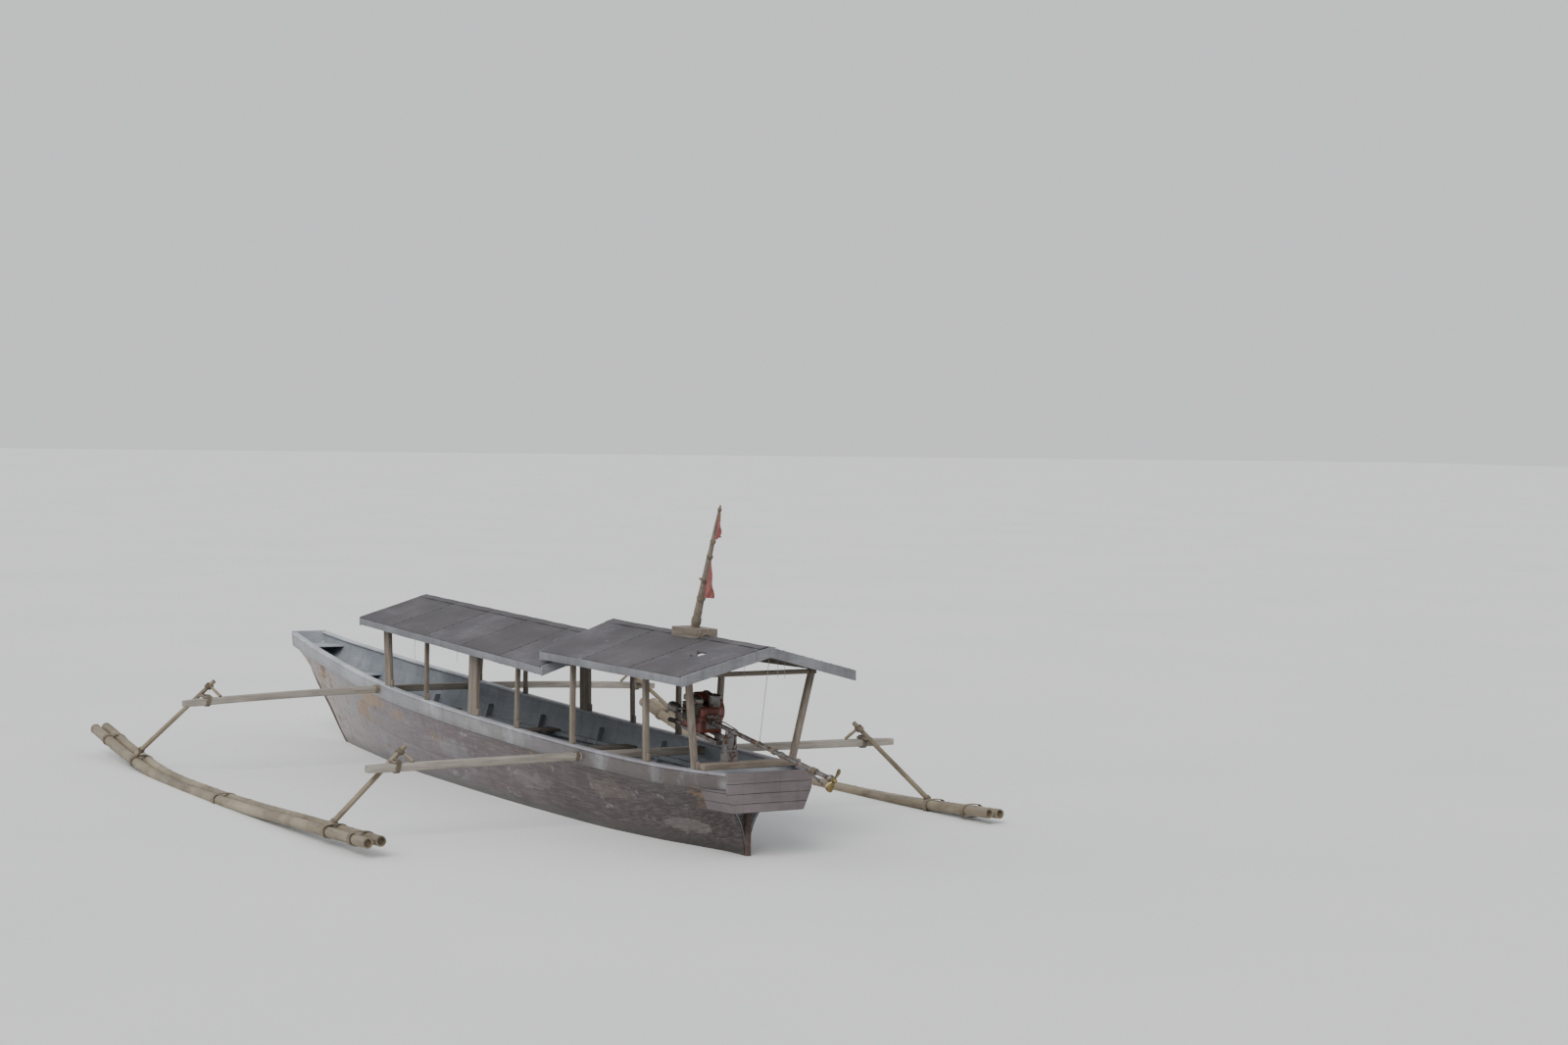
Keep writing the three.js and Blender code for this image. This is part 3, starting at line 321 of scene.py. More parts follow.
def hull_paint():
    """The outer planking: pale near the bow, mauve grey amidships, dark red brown aft, ochre and
    grey patches where old coats show, run-off down the planks and a dull wet band at the water."""
    f = Finish("hull_paint", 0.6)
    run = f.stretched(GRAIN["X"])
    fibre = f.noise(4.0, run, 7.0, 0.6, 0.3)
    cloud = f.noise(0.9, f.stretched((0.8, 1.4, 1.8)), 7.0, 0.62)
    x, z = f.axis("X"), f.axis("Z")
    shifted = f.sum("ADD", x, f.swing(3.2, cloud))
    tone = f.ramp(f.span(shifted, -5.0, 5.5), [
        (0.05, "#3a3030"), (0.28, "#473c3d"), (0.45, "#564c50"), (0.62, "#696166"), (0.78, "#817b7c"),
        (0.95, "#98928f")])
    ochre = f.span(f.noise(1.1, f.stretched((0.7, 1.0, 1.6)), 6.0, 0.7), 0.56, 0.62)
    ochre = f.part(f.span(z, 0.35, 0.55), ochre)
    tone = f.over(tone, 0.75, ochre, "#8a6f4a")
    for at, up, wide, high, coat, share in PATCHES:
        tone = f.over(tone, share, f.blot(at, up, wide, high), coat)
    old_coat = f.span(f.noise(1.6, f.stretched((0.9, 1.0, 2.2)), 8.0, 0.68), 0.60, 0.64)
    tone = f.over(tone, 0.6, old_coat, "#7f8187")
    fore = f.span(x, 2.6, 4.4)
    brown = f.part(fore, f.span(f.noise(5.5, f.stretched((1.0, 1.0, 1.6)), 8.0, 0.75), 0.55, 0.60))
    tone = f.over(tone, 0.8, brown, "#5b3d2d")
    tone = f.over(tone, 0.18, f.span(fibre, 0.45, 0.8), "#c9c2bd")
    streak = f.span(f.noise(2.6, f.stretched((4.5, 4.5, 0.4)), 7.0, 0.66), 0.5, 0.72)
    tone = f.over(tone, 0.38, streak, "#2f2320")
    chip = f.span(f.noise(12.0, run, 8.0, 0.75), 0.66, 0.70)
    tone = f.mix(chip, tone, "#5a4536")
    wet = f.span(f.sum("ADD", z, f.swing(0.06, fibre)), 0.13, 0.04)
    f.colour(f.over(tone, 0.7, wet, "#2b2b26"))
    f.rough(f.sum("SUBTRACT", cloud, f.part(0.3, wet)), 0.35, 0.75)
    f.bump(chip, 0.45, -0.002)
    f.bump(old_coat, 0.25, 0.0015)
    f.bump(fibre, 0.2, 0.002)
    return f.material


def bamboo_skin(name, dark, mid, light):
    """Bamboo laid along its own length: u round the pole, v in metres along it."""
    f = Finish(name, 0.5)
    lay = f.uv()
    fibre = f.noise(5.0, f.stretched((9.0, 0.5, 1.0), lay), 6.0, 0.6)
    blotch = f.noise(3.0, None, 6.0, 0.62)
    tone = f.ramp(f.noise(0.9, f.stretched((1.5, 1.2, 1.0), lay), 4.0, 0.55, 0.5),
                  [(0.28, dark), (0.5, mid), (0.75, light)])
    tone = f.over(tone, 0.4, f.span(fibre, 0.4, 0.75), light)
    tone = f.over(tone, 0.55, f.span(blotch, 0.52, 0.7), "#3c3128")
    split = f.span(f.noise(7.0, f.stretched((14.0, 0.35, 1.0), lay), 3.0, 0.6), 0.34, 0.29)
    f.colour(f.mix(split, tone, "#231b15"))
    f.rough(blotch, 0.38, 0.8)
    f.bump(split, 0.4, -0.003)
    f.bump(fibre, 0.22, 0.0015)
    return f.material


# Shapes: each is a pair of points (k, 3) and a list of faces.
def tube_faces(rows, cols):
    """Quads between neighbours of a rows by cols grid whose last column closes on its first."""
    i, j = np.meshgrid(np.arange(rows - 1), np.arange(cols), indexing="ij")
    k = (j + 1) % cols
    quad = np.stack([i * cols + j, i * cols + k, (i + 1) * cols + k, (i + 1) * cols + j], -1)
    return quad.reshape(-1, 4).tolist()


def spread(*coordinates):
    """Points from coordinates that spread over one another's grid."""
    return np.stack(np.broadcast_arrays(*coordinates), -1)


def full_turn(sides):
    return np.linspace(0, 2 * np.pi, sides, endpoint=False)


def squarish(turn, power):
    """Radius of a superellipse at each angle: a circle at power 2 and squarer above."""
    return (np.abs(np.cos(turn)) ** power + np.abs(np.sin(turn)) ** power) ** (-1 / power)


def distances(path):
    """How far along the path each of its points is."""
    return np.concatenate([[0], np.cumsum(np.linalg.norm(np.diff(path, axis=0), axis=1))])


def spokes(across, above, turn):
    """Unit vectors (n, m, 3) at the m angles of turn, in the plane of each of n pairs of axes."""
    return np.cos(turn)[:, None] * across[:, None] + np.sin(turn)[:, None] * above[:, None]


def loft(rings):
    """Rings (n, m, 3) joined in order, each closed on itself, with flat ends."""
    n, m = rings.shape[:2]
    faces = tube_faces(n, m)
    faces += [list(range(m))[::-1], list(range((n - 1) * m, n * m))]
    return rings.reshape(-1, 3), faces


def shell(front, back, gone=None):
    """A closed sheet between two grids (n, m, 3). Cells marked gone are left out, and a wall joins
    the two grids wherever a cell that is kept has no neighbour."""
    n, m = front.shape[:2]
    off, at = n * m, np.arange(n * m).reshape(n, m)
    mine = np.ones((n - 1, m - 1), bool) if gone is None else ~gone
    kept = np.pad(mine, 1)
    cell = np.stack([at[:-1, :-1], at[:-1, 1:], at[1:, 1:], at[1:, :-1]], -1)
    parts = [cell[mine], cell[mine][:, ::-1] + off]
    for di, dj, a, b in ((-1, 0, 0, 1), (0, 1, 1, 2), (1, 0, 2, 3), (0, -1, 3, 0)):
        bare = mine & ~kept[1 + di:n + di, 1 + dj:m + dj]
        p, q = cell[..., a][bare], cell[..., b][bare]
        parts.append(np.stack([q, p, p + off, q + off], -1))
    used, faces = np.unique(np.concatenate(parts), return_inverse=True)
    points = np.concatenate([front.reshape(-1, 3), back.reshape(-1, 3)])[used]
    return points, faces.reshape(-1, 4).tolist()


def merged(shapes):
    points, faces, start = [], [], 0
    for p, f in shapes:
        points.append(p)
        faces += [[i + start for i in face] for face in f]
        start += len(p)
    return np.concatenate(points), faces


def unit(v):
    return v / np.linalg.norm(v, axis=-1, keepdims=True)


def side_axes(path, up=UP):
    """Across and upward directions at each point of a path, square to its run."""
    run = unit(np.gradient(path, axis=0))
    across = unit(np.cross(np.broadcast_to(up, run.shape), run))
    return across, np.cross(run, across)


def pole(path, radius, sides=16, up=UP):
    """A circle of the given radius, one value or one for each point, carried along a path."""
    radius = np.broadcast_to(radius, len(path))[:, None, None]
    return loft(path[:, None] + radius * spokes(*side_axes(path, up), full_turn(sides)))


def rounded(wide, deep, corner, steps=3):
    """Outline (m, 2) of a rectangle with round corners, anticlockwise."""
    a, b = wide / 2 - corner, deep / 2 - corner
    turn = np.linspace(0, np.pi / 2, steps + 1)
    arcs = [np.stack([sx * a + corner * np.cos(turn + q * np.pi / 2),
                      sy * b + corner * np.sin(turn + q * np.pi / 2)], -1)
            for q, (sx, sy) in enumerate([(1, 1), (-1, 1), (-1, -1), (1, -1)])]
    return np.concatenate(arcs)


def swept(path, outline, up=UP, size=1.0):
    """An outline (m, 2) carried along a path at the given size."""
    across, above = side_axes(path, up)
    return loft(path[:, None] + size * (outline[:, :1] * across[:, None] + outline[:, 1:] * above[:, None]))


def timber(path, wide, deep, corner, up=UP):
    """A round-cornered rectangle carried along a path."""
    return swept(path, rounded(wide, deep, corner, 2), up)


def straight(a, b, count=2):
    return np.linspace(np.array(a, float), np.array(b, float), count)


def block(low, high, corner=0.006, steps=3):
    """A box whose edges and corners are all rounded: round-cornered outlines stacked in z and
    drawn in by the same circle near the two ends."""
    low, high = np.array(low, float), np.array(high, float)
    centre, size = (low + high) / 2, high - low
    corner = min(corner, size.min() / 2.05)
    turn = np.linspace(0, np.pi / 2, steps + 1)
    rise = np.concatenate([low[2] + corner * (1 - np.cos(turn)),
                           high[2] - corner * (1 - np.cos(turn))[::-1]])
    draw = corner * np.concatenate([1 - np.sin(turn), (1 - np.sin(turn))[::-1]])
    rings = []
    for z, inward in zip(rise, draw):
        flat = rounded(size[0] - 2 * inward, size[1] - 2 * inward, max(corner - inward, 1e-4), steps)
        rings.append(np.column_stack([flat + centre[:2], np.full(len(flat), z)]))
    return loft(np.array(rings))


def turned(rows, base, axis, sides=24):
    """Rows of (height along the axis, radius) spun round an axis that starts at base."""
    axis = unit(np.array(axis, float))
    across = unit(np.cross(axis, (0.31, 0.17, 0.93)))
    other = np.cross(axis, across)
    rows = np.array(rows, float)
    spoke = spokes(across[None], other[None], full_turn(sides))
    rings = np.array(base) + rows[:, None, :1] * axis + np.maximum(rows[:, None, 1:], 2e-4) * spoke
    return loft(rings)


def studs(points, normals, radius=0.005, rise=0.0025, sides=7):
    """Low domes on a surface: three rings for each point, the last one closed flat."""
    points, normals = np.array(points, float), unit(np.array(normals, float))
    across = unit(np.cross(normals, (0.37, 0.21, 0.9)))
    spoke = spokes(across, np.cross(normals, across), full_turn(sides))
    rings = [points[:, None] + radius * r * spoke + normals[:, None] * rise * h
             for r, h in ((1.0, -0.6), (0.9, 0.5), (0.45, 1.0))]
    ring = np.stack(rings, 1)
    count = len(points)
    faces = tube_faces(3, sides)
    faces.append([2 * sides + i for i in range(sides)])
    faces.append(list(range(sides))[::-1])
    off = (np.arange(count) * 3 * sides).tolist()
    return ring.reshape(-1, 3), [[i + o for i in face] for o in off for face in faces]


def winding(centre, run, wide, deep, turns, pitch, rope=0.004, square=2.6):
    """Rope wound round an oval that is wide across and deep upward; run is the way it advances.
    The oval is a superellipse, and each turn steps on by the pitch."""
    run = unit(np.array(run, float))
    across = unit(np.cross(UP, run)) if abs(run[2]) < 0.9 else np.array((0.0, 1.0, 0.0))
    above = np.cross(run, across)
    s = np.linspace(0, turns, int(turns * 22) + 1)
    a = 2 * np.pi * s
    fit = squarish(a, square)
    path = (np.array(centre) + ((s - turns / 2) * pitch)[:, None] * run
            + (wide * np.cos(a) * fit)[:, None] * across + (deep * np.sin(a) * fit)[:, None] * above)
    return pole(path, rope, 6, up=run)


# Finished pieces.
def piece(name, shape, finish, slot, body="boat", stands_for=None, smooth=35, lay=None):
    """A mesh object that rides on a body; lay is one (u, v) for each point."""
    points, faces = shape
    mesh = bpy.data.meshes.new(name)
    mesh.from_pydata(points.tolist(), [], faces)
    return finished(name, mesh, finish, body, stands_for, smooth, lay)


def finished(name, mesh, finish, body, stands_for, smooth=35, lay=None, bevel=0.0):
    """The object of a mesh, shaded smooth up to an angle in degrees, with its edges worn round."""
    if lay is not None:
        corner = np.empty(len(mesh.loops), dtype=np.int64)
        mesh.loops.foreach_get("vertex_index", corner)
        mesh.uv_layers.new(name="lay").data.foreach_set("uv", np.asarray(lay)[corner].ravel())
    outward(mesh)
    mesh.shade_smooth()
    mesh.set_sharp_from_angle(angle=math.radians(smooth))
    obj = bpy.data.objects.new(name, mesh)
    bpy.context.collection.objects.link(obj)
    mesh.materials.append(finish)
    if bevel:
        soft = obj.modifiers.new("worn_edges", "BEVEL")
        soft.width, soft.segments, soft.limit_method, soft.angle_limit = bevel, 2, "ANGLE", math.radians(40)
        soft.harden_normals = False
    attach(obj, body)
    if stands_for:
        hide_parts(stands_for)
    return obj


def outward(mesh):
    """Turns all faces to look outward."""
    work = bmesh.new()
    work.from_mesh(mesh)
    bmesh.ops.recalc_face_normals(work, faces=work.faces)
    work.to_mesh(mesh)
    work.free()


def copy_of(node):
    """The node's mesh with its loose triangles welded and flat areas made one face."""
    work = bmesh.new()
    work.from_mesh(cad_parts[node].data)
    bmesh.ops.remove_doubles(work, verts=work.verts, dist=2e-5)
    bmesh.ops.dissolve_limit(work, angle_limit=math.radians(1.0), verts=work.verts, edges=work.edges)
    mesh = bpy.data.meshes.new(node + "_worn")
    work.to_mesh(mesh)
    work.free()
    return mesh


def softened(node, finish, bevel, body="boat"):
    """The node's own form with worn edges."""
    finished(node + "_worn", copy_of(node), finish, body, node, bevel=bevel)


# Hull.
def along(column, x):
    """One column of STATIONS at x: a cubic between stations whose slope at a station is the
    harmonic mean of the rises beside it, or nothing where they differ in sign."""
    xs, ys = STATIONS[:, 0], STATIONS[:, column]
    gap = np.diff(xs)
    rise = np.diff(ys) / gap
    p, q = rise[:-1], rise[1:]
    total = np.where(p + q == 0, 1.0, p + q)
    slope = np.concatenate([rise[:1], np.where(p * q > 0, 2 * p * q / total, 0.0), rise[-1:]])
    i = np.clip(np.searchsorted(xs, x, side="left") - 1, 0, len(xs) - 2)
    t = (x - xs[i]) / gap[i]
    return (ys[i] * (1 + 2 * t) * (1 - t) ** 2 + gap[i] * slope[i] * t * (1 - t) ** 2
            + ys[i + 1] * t * t * (3 - 2 * t) + gap[i] * slope[i + 1] * t * t * (t - 1))


def rail_top(x):
    """Height of the rail; x is taken from the sternpost here and below."""
    x = np.asarray(x, float)
    return along(RAIL, np.maximum(x, HULL_AFT)) + np.maximum(HULL_AFT - x, 0) * 0.012


def rail_half(x):
    """Half width at the rail, straight along the counter."""
    x = np.asarray(x, float)
    k = (x - COUNTER_AFT) / (HULL_AFT - COUNTER_AFT)
    return np.where(x >= HULL_AFT, along(HALF, np.maximum(x, HULL_AFT)),
                    COUNTER_HALF + k * (HULL_AFT_HALF - COUNTER_HALF))


def strake_depth(x):
    """The strake is a fifth shallower at the stern than from 0.4 m ahead of the sternpost."""
    return STRAKE_DEPTH * np.clip((x + 2.0) / 2.4, 0.8, 1.0)


def strake_low(x):
    return rail_top(x) - RAIL_DEEP - strake_depth(x)


PLANKS = 7
SHARE = PLANKS / (PLANKS + 1)


def section(x, t, inset=0.0):
    """Half section: from the centre line to the shoulder y grows as k to the power h and z as k to
    the power 1/h, h being the root of the hollowness; the top share is straight. Inset moves the
    point inward along the curve's normal."""
    h = np.sqrt(along(HOLLOW, x))
    start = PLANK + GAP
    low, shoulder_y, shoulder_z = along(KEEL, x), rail_half(x) - SHOULDER, strake_low(x)
    top = rail_top(x) - RAIL_DEEP - GAP

    def at(s):
        k = np.clip(s / SHARE, 0, 1)
        m = np.clip((s - SHARE) / (1 - SHARE), 0, 1)
        return (start + (shoulder_y - start) * k ** h + SHOULDER * m,
                low + (shoulder_z - low) * k ** (1 / h) + (top - shoulder_z) * m)
    y, z = at(t)
    ya, za = at(np.maximum(t - 0.02, 0))
    yb, zb = at(np.minimum(t + 0.02, 1))
    size = np.hypot(yb - ya, zb - za)
    return np.maximum(y - (zb - za) / size * inset, GAP), z + np.where(t >= 1, 0, (yb - ya) / size) * inset


def hull_points(side, x, t, inset):
    x, t = np.broadcast_arrays(np.asarray(x, float), t)
    y, z = section(x, t, inset)
    return np.stack([x - MIDSHIP, side * y, z], -1)


def planking(side, word, paint, lining):
    """Seven smooth planks a side with a shallow groove at each seam, and their inner faces."""
    part = np.array([0.0, 0.035, 0.2, 0.4, 0.6, 0.8, 0.965])
    t = np.concatenate([(j + part) / (PLANKS + 1) for j in range(PLANKS)] + [[SHARE, 0.94, 1.0]])
    groove = np.concatenate([np.array([0.0025] + [0.0] * 6)] * PLANKS + [np.zeros(3)])
    groove[0] = 0.0
    x = np.linspace(HULL_AFT, HULL_FORE, 200)[:, None]
    outer = hull_points(side, x, t[None], groove[None])
    middle = hull_points(side, x, t[None], PLANK / 2)
    inner = hull_points(side, x, t[None], PLANK + 0.4 * groove[None])
    piece(f"planking_{word}", shell(outer, middle), paint, slot="hull_paint",
          stands_for=f"hull_side_{word}", smooth=50)
    piece(f"lining_{word}", shell(middle, inner), lining, slot="inside_paint", smooth=50)
    rows = np.array([(j + 0.5) / (PLANKS + 1) for j in range(PLANKS)])
    nails_x = np.repeat(np.array(RIBS), len(rows) * 2)
    nails_t = np.tile(np.concatenate([rows - 0.035, rows + 0.035]), len(RIBS))
    spot = hull_points(side, nails_x, nails_t, 0.0)
    behind = hull_points(side, nails_x, nails_t, PLANK / 2)
    piece(f"plank_nails_{word}", studs(spot, spot - behind, 0.006, 0.0012), paint, slot="hull_paint")


def strip(x, corners, side):
    """A bar along the boat: corners (m, 2) are how far out from the rail's edge line and how far
    up from the rail's top, one set or one set for each x."""
    x = np.asarray(x, float)
    corners = np.broadcast_to(corners, (len(x),) + np.shape(corners)[-2:])
    y = side * (rail_half(x)[:, None] + corners[..., 0])
    z = rail_top(x)[:, None] + corners[..., 1]
    return loft(spread(x[:, None] - MIDSHIP, y, z))


def sheer(side, word, strake_paint, rail_paint):
    """The strake under the rail, the rail with its worn edges and the nails along it."""
    x = np.linspace(COUNTER_AFT, HULL_FORE, 160)
    low, high = -RAIL_DEEP - strake_depth(x), -RAIL_DEEP - GAP
    out, lean, r = STRAKE, SHOULDER, 0.005
    row = np.stack([spread(*corner) for corner in (
        (0.001 - lean, low + r), (out - lean - r, low), (out - lean, low + r),
        (out - lean * 0.5, (low + high) / 2), (out, 0 * low + high - r), (out - r, 0 * low + high),
        (0.001, 0 * low + high))], 1)
    piece(f"strake_{word}", strip(x, row, side), strake_paint, slot="strake_paint",
          stands_for=f"sheer_strake_{word}", smooth=40)
    wear = 0.0015 * np.sin(2.3 * x) * np.sin(0.7 * x + 1)
    half = (RAIL_OUT + RAIL_IN) / 2
    cap = rounded(2 * half, RAIL_DEEP, 0.008, 3) + [(RAIL_OUT - RAIL_IN) / 2, -RAIL_DEEP / 2]
    cap = cap[None] + np.stack([wear, 0 * wear], -1)[:, None]
    # the rail's pale finish is partly its grey paint and partly a painted highlight along its lit top
    piece(f"gunwale_{word}", strip(x, cap, side), rail_paint, slot="rail_paint",
          stands_for=f"rail_{word}", smooth=40)
    nail_x = np.arange(0.0, 10.5, 0.28)
    head = np.stack([nail_x - MIDSHIP, side * (rail_half(nail_x) - 0.006), rail_top(nail_x)], -1)
    nails = studs(head, np.tile((0.0, 0, 1), (len(head), 1)), 0.005, 0.0012)
    piece(f"rail_nails_{word}", nails, rail_paint, slot="rail_paint")


def roofing(name, aft, width):
    """Old dark roofing: tar-grey with brown run-off down the slope, pale scuffs and grit. Each sheet
    of the given width has its own tone, and a painted shadow line darkens it along its lap."""
    f = Finish(name, 0.85)
    row = f.sum("DIVIDE", f.sum("SUBTRACT", f.axis("X"), aft - MIDSHIP), width)
    half = f.sum("GREATER_THAN", f.axis("Y"), 0.0)
    own = f.add("ShaderNodeTexWhiteNoise", {"W": f.sum("ADD", f.sum("FLOOR", row), f.part(17.3, half))},
                noise_dimensions="1D").outputs["Value"]
    # painted shadow: dark along the first few centimetres of each sheet, where the raised edge of its
    # neighbour steps over it at the lap
    lap = f.span(f.sum("FRACT", row), 0.055, 0.004)
    cloud = f.noise(1.4, f.stretched((0.9, 1.6, 1.6)), 7.0, 0.62)
    tone = f.ramp(cloud, [(0.28, "#38363a"), (0.5, "#4c4a4f"), (0.74, "#67656a")])
    run_off = f.span(f.noise(3.0, f.stretched((5.0, 0.5, 0.5)), 6.0, 0.65), 0.5, 0.72)
    tone = f.over(tone, 0.5, run_off, "#4a3a30")
    scuff = f.span(f.noise(6.5, None, 8.0, 0.72), 0.62, 0.68)
    tone = f.over(tone, 0.5, scuff, "#8b8a8c")
    grit = f.noise(180.0, None, 2.0)
    tone = f.over(tone, 0.3, f.span(grit, 0.45, 0.65), "#262427")
    tone = f.over(tone, 0.45, own, "#3d3a3a")
    # last comes the painted shadow line at each lap
    f.colour(f.over(tone, 0.6, lap, "#1f1d1e"))
    f.rough(cloud, 0.7, 0.92)
    f.bump(cloud, 0.3, 0.006)
    f.bump(grit, 0.3, 0.0012)
    return f.material


# Outriggers.
def bent_line(points, step=0.015):
    """Centripetal Catmull-Rom curve through the points, then evenly spaced by arc length."""
    p = np.array(points, float)
    ext = np.concatenate([[2 * p[0] - p[1]], p, [2 * p[-1] - p[-2]]])
    u = np.linspace(0, len(p) - 1, 400)
    i = np.minimum(u.astype(int), len(p) - 2)
    w = (u - i)[:, None]
    a, b, c, d = (ext[i + k] for k in range(4))
    root = [np.sqrt(np.linalg.norm(q - r, axis=1))[:, None] for q, r in ((b, a), (c, b), (d, c))]
    m1 = ((b - a) / root[0] - (c - a) / (root[0] + root[1]) + (c - b) / root[1]) * root[1]
    m2 = ((c - b) / root[1] - (d - b) / (root[1] + root[2]) + (d - c) / root[2]) * root[1]
    curve = (b * (1 + 2 * w) * (1 - w) ** 2 + m1 * w * (1 - w) ** 2
             + c * w * w * (3 - 2 * w) + m2 * w * w * (w - 1))
    return evenly(curve, step)


def evenly(curve, step):
    """The same line with its points one step apart along it."""
    length = distances(curve)
    s = np.linspace(0, length[-1], max(int(length[-1] / step), 2) + 1)
    return np.stack([np.interp(s, length, curve[:, k]) for k in range(3)], -1)


BAMBOO_JOINT, BAMBOO_TAPER = 0.36, 0.14


def bamboo(path, radius, phase):
    """A hollow-ended pole: it thins towards its far end, each joint is a swollen ring with a
    groove beside it, and the ends are cut square with the wall showing. Returns shape and lay."""
    s = distances(path)
    off = ((s / BAMBOO_JOINT + phase + 0.16 * np.sin(1.9 * s + 5 * phase)) % 1.0 - 0.5) * BAMBOO_JOINT
    ring = 0.085 * np.exp(-(off / 0.007) ** 2) - 0.05 * np.exp(-((off + 0.016) / 0.008) ** 2)
    waist = -0.02 * np.cos(np.pi * off / BAMBOO_JOINT) ** 2
    r = radius * (1 - BAMBOO_TAPER * s / s[-1] + ring + waist)
    deep = min(3, len(path) - 1)
    line = np.concatenate([[path[deep], path[0]], path, [path[-1], path[-1 - deep]]])
    size = np.concatenate([[0.70 * r[0], 0.76 * r[0]], r, [0.76 * r[-1], 0.70 * r[-1]]])
    across, above = side_axes(path)
    pad = [0, 0] + list(range(len(path))) + [len(path) - 1] * 2
    turn = full_turn(14) - np.pi / 2
    rings = line[:, None] + size[:, None, None] * spokes(across[pad], above[pad], turn)
    lay = spread((turn * radius)[None], s[pad][:, None] + 7 * phase)
    return loft(rings), lay.reshape(-1, 2)


def bamboos(name, rows, finish, **more):
    """Several poles as one piece; rows are (path, radius, phase)."""
    made = [bamboo(*row) for row in rows]
    piece(name, merged([shape for shape, _ in made]), finish, lay=np.concatenate([lay for _, lay in made]),
          **more)


def boom_top(boom, y):
    """Height of a boom at y: it curves down evenly towards its tips."""
    _, middle, tip = BOOMS[boom]
    return middle - (middle - tip) * (np.asarray(y) / BOOM_REACH) ** 2


def float_line(word, shift):
    """The line of a float, shifted inboard from its outer bamboo."""
    side, line, _ = FLOATS[word]
    line = np.array(line)
    return np.column_stack([line[:, 0] - MIDSHIP, side * (line[:, 1] - shift), line[:, 2] + 0.08 * shift])


def outrigger_float(word, skin, rope):
    """Two bamboos side by side, bound together in several places."""
    bands = FLOATS[word][2]
    poles = [bent_line(float_line(word, shift)) for shift in (0, FLOAT_PITCH)]
    bamboos(f"float_bamboos_{word}", [(poles[0], FLOAT_RADIUS, 0.31), (poles[1], FLOAT_RADIUS, 0.77)], skin,
            slot="bamboo", stands_for=f"float_{word}", smooth=50)
    middle = bent_line(float_line(word, FLOAT_PITCH / 2))
    wraps = []
    for x in bands:
        i = int(np.argmin(np.abs(middle[:, 0] + MIDSHIP - x)))
        run = unit(middle[min(i + 2, len(middle) - 1)] - middle[i - 2])
        wraps.append(winding(middle[i], run, FLOAT_PITCH / 2 + FLOAT_RADIUS + 0.003, FLOAT_RADIUS + 0.005,
                             6, 0.0092, 0.0048, 3.2))
    piece(f"float_lashings_{word}", merged(wraps), rope, slot="bamboo")


def strut(name, skin, timber_finish, rope):
    """A bamboo from the float up past the boom, a short one that ties it back, and its chock."""
    boom, head, foot = STRUTS[name]
    head, foot = (np.array(p, float) - (MIDSHIP, 0, 0) for p in (head, foot))
    side = np.sign(head[1])
    boom_x = BOOMS[boom][0] - MIDSHIP
    tie_top = head + 0.06 * (foot - head)
    tie_y = head[1] - 0.040 * side
    deck = boom_top(boom, tie_y)
    pole_line = evenly(straight(foot, head), 0.012)
    tie_line = evenly(straight((boom_x, tie_y, deck + 0.006), tie_top), 0.012)
    bamboos(f"strut_bamboo_{name}", [(pole_line, STRUT_RADIUS, 0.4), (tie_line, 0.017, 0.2)], skin,
            slot="bamboo", stands_for=f"strut_{name}", smooth=50)
    k = (head[2] - deck - 0.020) / (head[2] - foot[2])
    cross = head + k * (foot - head)
    top = float(boom_top(boom, cross[1]))
    low = (min(boom_x - 0.05, cross[0] - 0.02), cross[1] - 0.040, top + GAP)
    high = (max(boom_x + 0.05, cross[0] + 0.02), cross[1] + 0.040, top + 0.026)
    piece(f"strut_chock_{name}", block(low, high, 0.007), timber_finish, slot="bare_wood")
    across_boom = winding((boom_x, cross[1], top - 0.024), PORT, BOOM_WIDE / 2 + 0.006, 0.060, 5, 0.009,
                          0.0042, 4.0)
    run = unit(head - foot)
    at_tie = winding(tie_top - 0.01 * run, run, STRUT_RADIUS + 0.020, STRUT_RADIUS + 0.006, 5, 0.009,
                     0.0042, 2.4)
    at_foot = winding(foot + 0.075 * run, run, STRUT_RADIUS + 0.003, STRUT_RADIUS + 0.003, 4, 0.009, 0.0042)
    piece(f"strut_lashings_{name}", merged([across_boom, at_tie, at_foot]), rope, slot="bamboo")


def outrigger_boom(name, finish, rope):
    """A squared pole, hand worked: its width and depth wander by a few millimetres along it."""
    x = BOOMS[name][0] - MIDSHIP
    y = np.linspace(-BOOM_REACH, BOOM_REACH, 140)
    path = np.column_stack([0 * y + x + 0.003 * np.sin(2.1 * y + 1), y, boom_top(name, y) - BOOM_DEEP / 2])
    outline = rounded(BOOM_WIDE - 0.004, BOOM_DEEP - 0.001, 0.009, 4)
    ends = 1 - 0.12 * np.exp(-((BOOM_REACH - np.abs(y)) / 0.10) ** 2)
    swell = (ends * (1 + 0.02 * np.sin(5.3 * y)))[:, None, None]
    piece(f"boom_pole_{name}", swept(path, outline, size=swell), finish, slot="bamboo",
          stands_for=f"boom_{name}", smooth=50)
    at = float(rail_half(BOOMS[name][0]))
    wraps = [winding((x, s * (at + off), float(boom_top(name, at)) - BOOM_DEEP / 2), PORT,
                     BOOM_WIDE / 2 + 0.004, BOOM_DEEP / 2 + 0.004, 4, 0.009, 0.0045, 4.5)
             for s in (1, -1) for off in (0.06, -0.10)]
    piece(f"boom_lashings_{name}", merged(wraps), rope, slot="bamboo")


# Roofs.
def roof_row(roof, x):
    """Ridge height, eave height, half width and plate line of a roof at x."""
    r = ROOFS[roof]
    k = (np.asarray(x, float) - r["x"][0]) / (r["x"][1] - r["x"][0])
    return [r[key][0] + (r[key][1] - r[key][0]) * k for key in ("ridge", "eave", "half", "plate")]


def roof_height(roof, x, y):
    """Height of a straight slope between ridge and eave."""
    ridge, eave, half, _ = roof_row(roof, x)
    return ridge - (ridge - eave) * np.abs(y) / half


